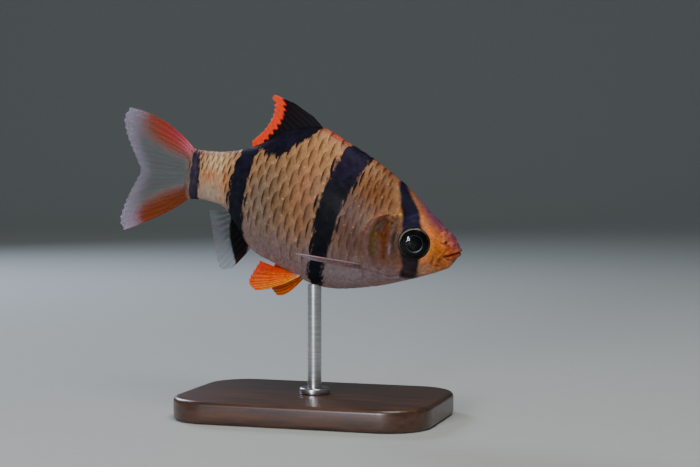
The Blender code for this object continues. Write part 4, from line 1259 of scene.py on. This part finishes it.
def pectoral_paint(u, out, ridge, s, z):
    colour = fin_colour(
        "786064",
        ("9c747e", 0.7 * swell(u, 0.12)),
        ("b0b4c4", 0.6 * ease(out, 0.6, 1.0)),
        ("4a2a1c", 0.8 * swell(out, 0.09)),
    )
    return colour, 0.30 + 0.35 * ridge * (1 - 0.4 * out) + 0.5 * swell(u, 0.08) + 0.3 * swell(out, 0.08)


fins = {
    "dorsal_fin": rayed_fin("dorsal_web", dorsal_lines, DORSAL_RAYS, dorsal_paint,
                            split_from=0.55, notch=0.07, thick=0.6, ribbed=0.05),
    "anal_fin": rayed_fin("anal_web", anal_lines, ANAL_RAYS, anal_paint),
    "tail_fin_upper": rayed_fin("tail_web", tail_lines, 2 * LOBE_RAYS, tail_paint, notch=0.02),
}
for word, side in (("right", -1), ("left", 1)):
    fins[f"pelvic_fin_{word}"] = rayed_fin(f"pelvic_web_{word}", pelvic_lines(side), PAIRED_RAYS,
                                           pelvic_paint)
for word, side in (("right", -1), ("left", 1)):
    fins[f"pectoral_fin_{word}"] = rayed_fin(f"pectoral_web_{word}", pectoral_lines(side), PAIRED_RAYS,
                                             pectoral_paint, seat=0.04, thick=0.6)

# %% [markdown]
# ## Eyes
#
# A fish eye has a round lens that bulges through the pupil, an iris full of mirror crystals
# round it, and a clear cornea over both. The tiger barb's first band runs through the iris, so
# only a thin pale ring shows. Painted light makes it brightest behind and above, where the
# light falls on it, and a painted reflection brightens the grey inner ring low in front.

# %% Eyeballs and corneas
EYE_TURNS = 128
PUPIL, LENS_LEVEL, LENS_RISE, IRIS_EDGE = 1.20, 0.20, 0.20, 2.36
CORNEA_DIP, IRIS_UNDER = 0.25, 0.09


def turned_in_eye(name, profile, side):
    """A surface turned about the eye's axis from (reach, height) points in mm, closed at the middle."""
    foot, axis = eye_frame(side)
    back = np.array([1.0, 0, 0]) - axis[0] * axis
    back /= np.linalg.norm(back)
    upward = np.cross(axis, back)
    upward *= np.sign(upward[2])
    turn = np.linspace(0, 2 * math.pi, EYE_TURNS, endpoint=False)
    reach, height = np.array(profile).T
    spoke = np.cos(turn)[:, None] * back + np.sin(turn)[:, None] * upward
    rings = foot + (reach[:, None, None] * spoke + height[:, None, None] * axis) / BODY_MM
    points = np.concatenate([rings.reshape(-1, 3), [foot + height[0] * axis / BODY_MM]])
    faces = grid_faces(len(profile), EYE_TURNS, closed=True)
    faces += [(len(points) - 1, k, (k + 1) % EYE_TURNS) for k in range(EYE_TURNS)]
    faces.reverse()  # the front of the eye comes last, so that it is what the flat map keeps
    if side < 0:
        faces = [tuple(face[::-1]) for face in faces]
    spot = spread_points(reach[:, None] * np.cos(turn), reach[:, None] * np.sin(turn), height[:, None])
    spot = np.concatenate([spot.reshape(-1, 3), [[0, 0, height[0]]]])
    layers = {"eye": spot, "turn": np.arctan2(spot[:, 1], spot[:, 0])}
    return make_piece(name, place(points), faces, layers, 0.5 + spot[:, :2] / 6)


def cornea_height(reach):
    """Height in mm of the cornea over the eye's edge."""
    return (EYE_DOME / MM + CORNEA_DIP) * math.sqrt(1 - (reach * MM / EYE_RADIUS) ** 2) - CORNEA_DIP


def eyeball_profile():
    """Lens, a crease round it, the iris close under the cornea, and a hidden back."""
    turns = np.linspace(0.02, math.pi / 2, 18)
    lens = [(PUPIL * math.sin(turn), LENS_LEVEL + LENS_RISE * math.cos(turn)) for turn in turns]
    reaches = np.linspace(PUPIL + 0.03, IRIS_EDGE, 24)
    iris = [(float(reach), cornea_height(reach) - IRIS_UNDER) for reach in reaches]
    return lens + iris + [(IRIS_EDGE + 0.05, -0.5), (1.6, -1.4), (0.02, -1.5)]


def cornea_profile():
    reaches = [EYE_RADIUS / MM * math.sin(t) for t in np.linspace(0.01, math.radians(84), 30)]
    return [(reach, cornea_height(reach)) for reach in reaches]


eyes, corneas = {}, {}
for side, word in ((-1, "right"), (1, "left")):
    eyes[word] = turned_in_eye(f"eyeball_{word}", eyeball_profile(), side)
    corneas[word] = turned_in_eye(f"cornea_{word}", cornea_profile(), side)

# %% [markdown]
# ## Materials of the fish
#
# Living skin is colour under a film of slime, scales are clear horn over pearly crystals, and
# a fin is a film that lets light through. Each recipe starts from the colour stored on the
# mesh and varies it with noise whose grain is given in millimetres of the straight fish. The
# shine is kept low, because wet skin in soft light shows few highlights.

# %% Materials of skin, scales, fins and eyes
def skin_material():
    """Wet skin: pigmented, with a thin gloss of slime over it."""
    made, tree, shader = new_material("Barb skin, wet and gloss varnished", Specular_IOR_Level=0.09,
                                      Coat_Weight=0.022, Coat_Roughness=0.16)
    ground = add(tree, "Attribute", attribute_name="tint").node.outputs["Color"]
    where = fish_millimetres(tree)
    mottle = add(tree, "TexNoise", where, 2.2, 4.0, 0.62)
    dark = add(tree, "MapRange", mottle, 0.32, 0.70, 0.60, 1.28)
    ground = add(tree, "VectorMath", ground, dark, operation="MULTIPLY")
    patches = add(tree, "TexNoise", where, 1.1, 3.0, 0.6)
    patches = add(tree, "MapRange", patches, 0.50, 0.66, 0.0, 0.6)
    ruddy = add(tree, "VectorMath", ground, (0.78, 0.52, 0.42), operation="MULTIPLY")
    ground = add(tree, "Mix", patches, ground, ruddy, data_type="RGBA")
    fleck = add(tree, "TexVoronoi", where, 5.0)
    fleck = add(tree, "MapRange", fleck, 0.10, 0.24, 0.42, 0.0)
    ground = add(tree, "Mix", fleck, ground, rgba("5a2f16"), data_type="RGBA")
    colour, mask = banded(tree, ground, 0.22)
    gill = add(tree, "Attribute", attribute_name="dull").node.outputs["Fac"]
    dull = add(tree, "MapRange", mask, 0.0, 1.0, 0.36, 0.5)
    dull = add(tree, "Math", gill, 0.35, dull, operation="MULTIPLY_ADD")
    shine = add(tree, "MapRange", mask, 0.0, 1.0, 0.10, 0.05)
    shine = add(tree, "Math", gill, -0.09, shine, operation="MULTIPLY_ADD", use_clamp=True)
    fine = add(tree, "TexNoise", where, 9.0, 3.0, 0.6)
    bump = add(tree, "Bump", 0.25, 0.00004, None, fine)
    link(tree, shader, Base_Color=colour, Roughness=dull, Specular_IOR_Level=shine, Normal=bump)
    return made


def plate_colours(tree, ground, where, rim, strength):
    """A scale's colours: speckled, painted shade lighter towards its root and darker towards its free rim,
    painted glints, olive along its free rim.
    """
    plate = add(tree, "Attribute", attribute_name="plate").node.outputs["Vector"]
    apart = add(tree, "SeparateXYZ", plate).node
    wander = add(tree, "TexNoise", where, 1.6, 3.0, 0.6)
    sideways = add(tree, "Math", apart.outputs["Y"], apart.outputs["Y"], operation="MULTIPLY")
    shifted = add(tree, "Math", wander, 0.45, rim, operation="MULTIPLY_ADD")
    shifted = add(tree, "Math", sideways, 0.58, shifted, operation="MULTIPLY_ADD")
    dark_rim = add(tree, "MapRange", shifted, 0.30, 0.82, 1.0, 0.0, interpolation_type="SMOOTHSTEP")
    dark_rim = add(tree, "Math", dark_rim, strength, operation="MULTIPLY")
    bright = add(tree, "MapRange", apart.outputs["Z"], 0.0, 1.0, 0.94, 1.08)
    pale = add(tree, "VectorMath", ground, bright, operation="MULTIPLY")
    # painted shade: across the middle of its height each scale darkens towards its free rim and lightens
    # towards its root
    painted_shade = add(tree, "MapRange", rim, 0.3, 1.9, -0.30, 0.26)
    middle = add(tree, "MapRange", sideways, 0.10, 0.80, 1.0, 0.0)
    painted_shade = add(tree, "Math", painted_shade, middle, operation="MULTIPLY")
    shade_ramp = add(tree, "Math", painted_shade, strength, 1.0, operation="MULTIPLY_ADD")
    pale = add(tree, "VectorMath", pale, shade_ramp, operation="MULTIPLY")
    # painted highlight: small pale glints on the scales, fading towards the belly
    painted_glint = add(tree, "TexNoise", where, 1.7, 3.0, 0.65)
    painted_glint = add(tree, "MapRange", painted_glint, 0.63, 0.75, 0.0, 0.45)
    painted_glint = add(tree, "Math", painted_glint, strength, operation="MULTIPLY")
    pale = add(tree, "Mix", painted_glint, pale, rgba("e6cdb0"), data_type="RGBA")
    stretched = add(tree, "VectorMath", where, (1.0, 1.0, 0.4), operation="MULTIPLY")
    speckle = add(tree, "TexNoise", stretched, 2.6, 4.0, 0.7)
    speckle = add(tree, "MapRange", speckle, 0.30, 0.70, 0.66, 1.34)
    pale = add(tree, "VectorMath", pale, speckle, operation="MULTIPLY")
    olive = add(tree, "VectorMath", ground, (0.30, 0.22, 0.10), operation="MULTIPLY")
    return add(tree, "Mix", dark_rim, pale, olive, data_type="RGBA"), dark_rim


def scale_material():
    """Horny plates: pale and pearly in the middle, with painted shade and glints, dark along the free rim,
    with growth rings.
    """
    made, tree, shader = new_material("Barb scales, pearly and wet", Specular_IOR_Level=0.12,
                                      Coat_Weight=0.012, Coat_Roughness=0.20)
    ground = add(tree, "Attribute", attribute_name="tint").node.outputs["Color"]
    where = fish_millimetres(tree)
    rim = add(tree, "Attribute", attribute_name="rim").node.outputs["Fac"]
    belly = add(tree, "Attribute", attribute_name="belly").node.outputs["Fac"]
    strength = add(tree, "MapRange", belly, 0.0, 1.0, 0.05, 1.0)
    ground, dark_rim = plate_colours(tree, ground, where, rim, strength)
    teeth = add(tree, "Math", strength, -0.28, operation="MULTIPLY")
    reach = add(tree, "Math", dark_rim, 1.0, teeth, operation="MULTIPLY_ADD")
    colour, mask = banded(tree, ground, 0.75, reach)
    dull = add(tree, "MapRange", mask, 0.0, 1.0, 0.42, 0.55)
    shine = add(tree, "MapRange", mask, 0.0, 1.0, 0.15, 0.03)
    rings = add(tree, "Math", rim, 42.0, operation="MULTIPLY")
    rings = add(tree, "Math", rings, operation="SINE")
    fine = add(tree, "TexNoise", where, 8.0, 2.0, 0.5)
    height = add(tree, "Math", rings, 0.25, fine, operation="MULTIPLY_ADD")
    bump = add(tree, "Bump", 0.30, 0.00003, None, height)
    link(tree, shader, Base_Color=colour, Roughness=dull, Specular_IOR_Level=shine, Normal=bump)
    return made


def fin_material():
    """Fin web: a clear film stained by pigment, with bony rays in it."""
    made, tree, shader = new_material("Fin web, clear and wet", Roughness=0.5, Specular_IOR_Level=0.08,
                                      Subsurface_Weight=0.5, Subsurface_Scale=0.0008)
    tint = add(tree, "Attribute", attribute_name="tint").node
    where = fish_millimetres(tree)
    blotch = add(tree, "TexNoise", where, 2.4, 4.0, 0.6)
    vary = add(tree, "MapRange", blotch, 0.3, 0.7, 0.72, 1.2)
    colour = add(tree, "VectorMath", tint.outputs["Color"], vary, operation="MULTIPLY")
    ray = add(tree, "Attribute", attribute_name="ray").node.outputs["Vector"]
    joints = add(tree, "VectorMath", ray, (0.0, 46.0, 0.0), operation="MULTIPLY")
    segments = add(tree, "TexWave", joints, 1.0, wave_type="BANDS", bands_direction="Y")
    bump = add(tree, "Bump", 0.12, 0.00003, None, segments)
    link(tree, shader, Base_Color=colour, Alpha=tint.outputs["Alpha"], Normal=bump)
    return made


def eye_material():
    """Glass-like eye: black pupil and iris, a thin grey ring with a painted reflection, a pale outer ring
    with painted light.
    """
    made, tree, shader = new_material("Eye, polished glass over pigment", Roughness=0.35,
                                      Specular_IOR_Level=0.07)
    spot = add(tree, "Attribute", attribute_name="eye").node.outputs["Vector"]
    turn = add(tree, "Attribute", attribute_name="turn").node.outputs["Fac"]
    flat = add(tree, "VectorMath", spot, (1.0, 1.0, 0.0), operation="MULTIPLY")
    reach = add(tree, "VectorMath", flat, operation="LENGTH").node.outputs["Value"]
    grain = add(tree, "TexNoise", spot, 5.0, 3.0, 0.6)
    wavy = add(tree, "Math", grain, 0.10, reach, operation="MULTIPLY_ADD")
    iris = add(tree, "MapRange", wavy, 1.20, 1.26, 0.0, 1.0)
    colour = add(tree, "Mix", iris, rgba("010102"), rgba("050507"), data_type="RGBA")
    inner_in = add(tree, "MapRange", wavy, 1.24, 1.30, 0.0, 1.0)
    inner_out = add(tree, "MapRange", wavy, 1.34, 1.42, 1.0, 0.0)
    inner = add(tree, "Math", inner_in, inner_out, operation="MULTIPLY")
    # painted reflection: the grey inner ring is brightest low in front
    below = add(tree, "Math", turn, math.radians(135), operation="ADD")
    below = add(tree, "Math", below, operation="COSINE")
    painted_glint = add(tree, "MapRange", below, 0.70, 1.0, 0.14, 1.0)
    inner = add(tree, "Math", inner, painted_glint, operation="MULTIPLY")
    colour = add(tree, "Mix", inner, colour, rgba("98a2b2"), data_type="RGBA")
    # painted light: the pale outer ring is brightest behind and above
    lean = add(tree, "Math", turn, -0.9, operation="ADD")
    lean = add(tree, "Math", lean, operation="COSINE")
    painted_light = add(tree, "MapRange", lean, 0.0, 1.0, 0.06, 0.44)
    outer = add(tree, "MapRange", wavy, 2.20, 2.32, 0.0, 1.0)
    outer = add(tree, "Math", outer, painted_light, operation="MULTIPLY")
    colour = add(tree, "Mix", outer, colour, rgba("d8ceac"), data_type="RGBA")
    link(tree, shader, Base_Color=colour)
    return made


def cornea_material():
    """Clear cornea, wet."""
    made, tree, shader = new_material("Cornea, clear and wet", Roughness=0.02, IOR=1.22,
                                      Transmission_Weight=1.0)
    shader.inputs["Base Color"].default_value = rgba("f6f9fb")
    return made


def wear(piece, material):
    piece.data.materials.clear()
    piece.data.materials.append(material)


wear(skin, skin_material())
scale_finish = scale_material()
for piece in (scales_right, scales_left):
    wear(piece, scale_finish)
fin_finish = fin_material()
for piece in fins.values():
    wear(piece, fin_finish)
eye_finish, cornea_finish = eye_material(), cornea_material()
for word in ("right", "left"):
    wear(eyes[word], eye_finish)
    wear(corneas[word], cornea_finish)
print(len(bpy.data.materials), "materials so far")

# %% [markdown]
# ## The stand
#
# A museum model needs a foot. The base is a slab of dark stained hardwood with rounded
# corners, and one thin steel rod goes up from it into the belly.

# %% Stand
BASE_LONG, BASE_WIDE, BASE_THICK, BASE_CORNER, BASE_EDGE = 42 * MM, 27 * MM, 3.6 * MM, 7 * MM, 0.7 * MM
ROD_RADIUS, FOOT_RADIUS, FOOT_THICK, FOOT_EDGE = 1.1 * MM, 2.4 * MM, 1.0 * MM, 0.25 * MM


def wood_material():
    """Dark stained hardwood, its grain drawn out along the base."""
    made, tree, shader = new_material("Walnut, dark stained and satin varnished", Roughness=0.38,
                                      Coat_Weight=0.35, Coat_Roughness=0.2)
    where = add(tree, "TexCoord").node.outputs["Object"]
    mm = add(tree, "VectorMath", where, (120.0, 900.0, 900.0), operation="MULTIPLY")
    grain = add(tree, "TexNoise", mm, 1.0, 5.0, 0.6)
    vary = add(tree, "MapRange", grain, 0.3, 0.7, 0.0, 1.0)
    colour = add(tree, "Mix", vary, rgba("2a1911"), rgba("543420"), data_type="RGBA")
    bump = add(tree, "Bump", 0.15, 0.00005, None, grain)
    link(tree, shader, Base_Color=colour, Normal=bump)
    return made


def steel_material():
    """Steel with fine marks of the brush round it."""
    made, tree, shader = new_material("Stainless steel, fine brushed", Roughness=0.28, Metallic=1.0)
    where = add(tree, "TexCoord").node.outputs["Object"]
    mm = add(tree, "VectorMath", where, (300.0, 300.0, 6000.0), operation="MULTIPLY")
    grain = add(tree, "TexNoise", mm, 1.0, 3.0, 0.6)
    vary = add(tree, "MapRange", grain, 0.3, 0.7, 0.0, 1.0)
    colour = add(tree, "Mix", vary, rgba("a9abad"), rgba("cfd1d2"), data_type="RGBA")
    link(tree, shader, Base_Color=colour)
    return made


def finished(piece, name, material):
    """Names a piece made with the modelling tools, settles its place and gives it its material."""
    bpy.ops.object.transform_apply(location=True, rotation=True, scale=True)
    piece.name = name
    piece.data.name = name
    wear(piece, material)
    return piece


def bevelled(piece, width, segments, angle=30):
    """Rounds the piece's edges that are sharper than an angle, in degrees."""
    bevel = piece.modifiers.new("bevel", "BEVEL")
    bevel.width, bevel.segments = width, segments
    bevel.limit_method, bevel.angle_limit = "ANGLE", math.radians(angle)
    bpy.ops.object.modifier_apply(modifier="bevel")


def select_edges(piece, wanted):
    """Selects only the edges whose two end points pass the test."""
    bpy.context.tool_settings.mesh_select_mode = (False, True, False)
    for part in (piece.data.polygons, piece.data.vertices):
        part.foreach_set("select", [False] * len(part))
    for edge in piece.data.edges:
        edge.select = bool(wanted([piece.data.vertices[k].co for k in edge.vertices]))


def make_base():
    bpy.ops.object.select_all(action="DESELECT")
    bpy.ops.mesh.primitive_cube_add(size=1, location=(0, 0, BASE_THICK / 2))
    base = bpy.context.object
    base.scale = (BASE_LONG, BASE_WIDE, BASE_THICK)
    bpy.ops.object.transform_apply(location=True, rotation=True, scale=True)
    select_edges(base, lambda ends: abs(ends[0].z - ends[1].z) > BASE_THICK / 2)
    bpy.ops.object.mode_set(mode="EDIT")
    bpy.ops.mesh.bevel(offset=BASE_CORNER, segments=20)
    bpy.ops.object.mode_set(mode="OBJECT")
    bevelled(base, BASE_EDGE, 5)
    bpy.ops.object.shade_smooth_by_angle(angle=math.radians(25))
    return finished(base, "walnut_base", wood_material())


def make_rod():
    """A steel rod standing in a low round foot."""
    bpy.ops.object.select_all(action="DESELECT")
    top = BELLY_HEIGHT + 0.1 * MM
    bpy.ops.mesh.primitive_cylinder_add(vertices=64, radius=ROD_RADIUS, depth=top - BASE_THICK,
                                        location=(0, 0, (top + BASE_THICK) / 2))
    rod = bpy.context.object
    bpy.ops.object.transform_apply(location=True, rotation=True, scale=True)
    bpy.ops.mesh.primitive_cylinder_add(vertices=64, radius=FOOT_RADIUS, depth=FOOT_THICK,
                                        location=(0, 0, BASE_THICK + FOOT_THICK / 2))
    foot = bpy.context.object
    bpy.ops.object.transform_apply(location=True, rotation=True, scale=True)
    bevelled(foot, FOOT_EDGE, 4)
    rod.select_set(True)
    bpy.context.view_layer.objects.active = rod
    bpy.ops.object.join()
    bpy.ops.object.shade_smooth_by_angle(angle=math.radians(35))
    return finished(rod, "steel_rod", steel_material())


stand = {"stand_base": make_base(), "stand_rod": make_rod()}
print("base", round(BASE_LONG / MM), "x", round(BASE_WIDE / MM), "mm")
print("rod", round(2 * ROD_RADIUS / MM, 1), "mm thick")

# %% [markdown]
# ## Floor
#
# A sheet of pale paper runs under the stand and curves up behind it, as in a photographer's
# studio, so that the camera sees no corner behind the fish.

# %% Paper backdrop
AZIMUTH, ELEVATION = math.radians(17), math.radians(3)
BACKDROP_SIZE, BACKDROP_HEIGHT, BACKDROP_CURVE = 2.4, 1.6, 0.6


def floor_material():
    """Matt paper with a faint grain."""
    made, tree, shader = new_material("Paper backdrop, matt", Roughness=0.9)
    where = add(tree, "TexCoord").node.outputs["Object"]
    grain = add(tree, "TexNoise", where, 400.0, 2.0, 0.5)
    colour = add(tree, "Mix", grain, rgba("a9afad"), rgba("b0b6b4"), data_type="RGBA")
    link(tree, shader, Base_Color=colour)
    return made


def make_backdrop():
    """A sheet of paper that runs under the stand and curves up behind it."""
    bpy.ops.object.select_all(action="DESELECT")
    bpy.ops.mesh.primitive_plane_add(size=BACKDROP_SIZE)
    sheet = bpy.context.object
    sheet.name = "backdrop"
    for corner in sheet.data.vertices:
        corner.select = corner.co.y > 0
    for edge in sheet.data.edges:
        edge.select = all(sheet.data.vertices[k].co.y > 0 for k in edge.vertices)
    for face in sheet.data.polygons:
        face.select = False
    bpy.ops.object.mode_set(mode="EDIT")
    bpy.ops.mesh.select_mode(type="EDGE")
    bpy.ops.mesh.extrude_region_move(TRANSFORM_OT_translate={"value": (0, 0, BACKDROP_HEIGHT)})
    bpy.ops.object.mode_set(mode="OBJECT")
    curve = sheet.modifiers.new("curve", "BEVEL")
    curve.width, curve.segments, curve.limit_method = BACKDROP_CURVE, 24, "ANGLE"
    sheet.rotation_euler.z = AZIMUTH
    bpy.ops.object.modifier_apply(modifier="curve")
    bpy.ops.object.transform_apply(location=True, rotation=True, scale=True)
    sheet.data.shade_smooth()
    return sheet


floor = make_backdrop()
wear(floor, floor_material())

print("backdrop", BACKDROP_SIZE, "m wide and", BACKDROP_HEIGHT, "m high")

# %% [markdown]
# ## Light and camera
#
# Three round lamps light the fish. The largest, high over it, shows the scales' relief, one
# beside the camera fills the shadows and glints in the eye, and one behind draws a thin bright
# rim. The camera stands where it saw the fish in life: a hand's breadth away, a little ahead of
# its side and almost level with it.

# %% Lights and camera
CAMERA_BACK, CAMERA_RIGHT, CAMERA_UP = 262.3 * MM, 5.87 * MM, -4.25 * MM
LENS_MM, SENSOR_MM, NEAREST, FARTHEST = 85, 36, 0.01, 10
LAMPS = [
    # name, metres to the right of the fish's middle, up and back to the camera, size, watts, colour
    ("top_light", 0.05, 0.30, 0.14, 0.22, 0.90, "fff6ec"),
    ("front_light", -0.16, 0.04, 0.40, 0.11, 1.30, "f6f4ff"),
    ("rim_light", -0.20, 0.20, -0.30, 0.15, 0.90, "dfe8ff"),
]
ROOM_COLOUR, ROOM_STRENGTH = "b4bcc4", 0.25


def view_axes():
    """Unit vectors to the camera's right, up and back from the fish to the camera."""
    level = math.cos(ELEVATION)
    back = np.array([math.sin(AZIMUTH) * level, -math.cos(AZIMUTH) * level, math.sin(ELEVATION)])
    right = np.array([math.cos(AZIMUTH), math.sin(AZIMUTH), 0])
    return right, np.cross(back, right), back


def aim(thing, at, place_from):
    """Sets a lamp or camera at one point, looking at another."""
    thing.location = Vector(place_from)
    thing.rotation_euler = (Vector(at) - Vector(place_from)).to_track_quat("-Z", "Y").to_euler()


def add_lamp(name, at, place_from, size, power, colour):
    lamp = bpy.data.lights.new(name, "AREA")
    lamp.shape, lamp.size, lamp.energy, lamp.color = "DISK", size, power, linear(colour)
    thing = bpy.data.objects.new(name, lamp)
    bpy.context.scene.collection.objects.link(thing)
    aim(thing, at, place_from)


right, up, back = view_axes()
middle = place([0.5, 0, 0])
eye = middle + back * CAMERA_BACK + right * CAMERA_RIGHT + up * CAMERA_UP
camera_data = bpy.data.cameras.new("camera")
camera_data.lens, camera_data.sensor_width = LENS_MM, SENSOR_MM
camera_data.clip_start, camera_data.clip_end = NEAREST, FARTHEST
camera = bpy.data.objects.new("camera", camera_data)
bpy.context.scene.collection.objects.link(camera)
aim(camera, eye - back, eye)
bpy.context.scene.camera = camera

for name, rightwards, upwards, backwards, size, power, colour in LAMPS:
    add_lamp(name, middle, middle + right * rightwards + up * upwards + back * backwards, size, power, colour)

world = bpy.data.worlds.new("room")
bpy.context.scene.world = world
world.use_nodes = True
room = world.node_tree.nodes["Background"]
room.inputs["Color"].default_value = rgba(ROOM_COLOUR)
room.inputs["Strength"].default_value = ROOM_STRENGTH
print(len(LAMPS), "lamps and a", LENS_MM, "mm lens")

# %% [markdown]
# ## Tying the pieces to the solids
#
# Each piece is parented to one empty at the fish's root, and the solids it replaces are hidden.

# %% Bind every piece
FLESH = [
    "head", "lower_jaw", "gill_cover_right", "gill_cover_left", "torso_front", "torso_rear", "tail_stalk",
]
FIN_SLOTS = {
    "dorsal_fin": "dorsal_fin", "anal_fin": "clear_fin", "tail_fin_upper": "red_fin",
    "pelvic_fin_right": "red_fin", "pelvic_fin_left": "red_fin",
    "pectoral_fin_right": "clear_fin", "pectoral_fin_left": "clear_fin",
}
STAND_SLOTS = {"stand_base": "stand_wood", "stand_rod": "stand_steel"}

for piece, slot in ((skin, "head_skin"), (scales_right, "scaled_skin"), (scales_left, "scaled_skin")):
    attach(piece, "root")
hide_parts(*FLESH)
for pieces, slots in ((fins, FIN_SLOTS), (stand, STAND_SLOTS)):
    for node, piece in pieces.items():
        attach(piece, "root")
        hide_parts(node)
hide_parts("tail_fin_upper", "tail_fin_lower")
for word in ("right", "left"):
    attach(eyes[word], "root")
    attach(corneas[word], "root")
    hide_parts(f"eye_{word}")
print(3 + len(fins) + len(stand) + len(eyes) + len(corneas), "pieces bound to", len(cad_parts), "solids")
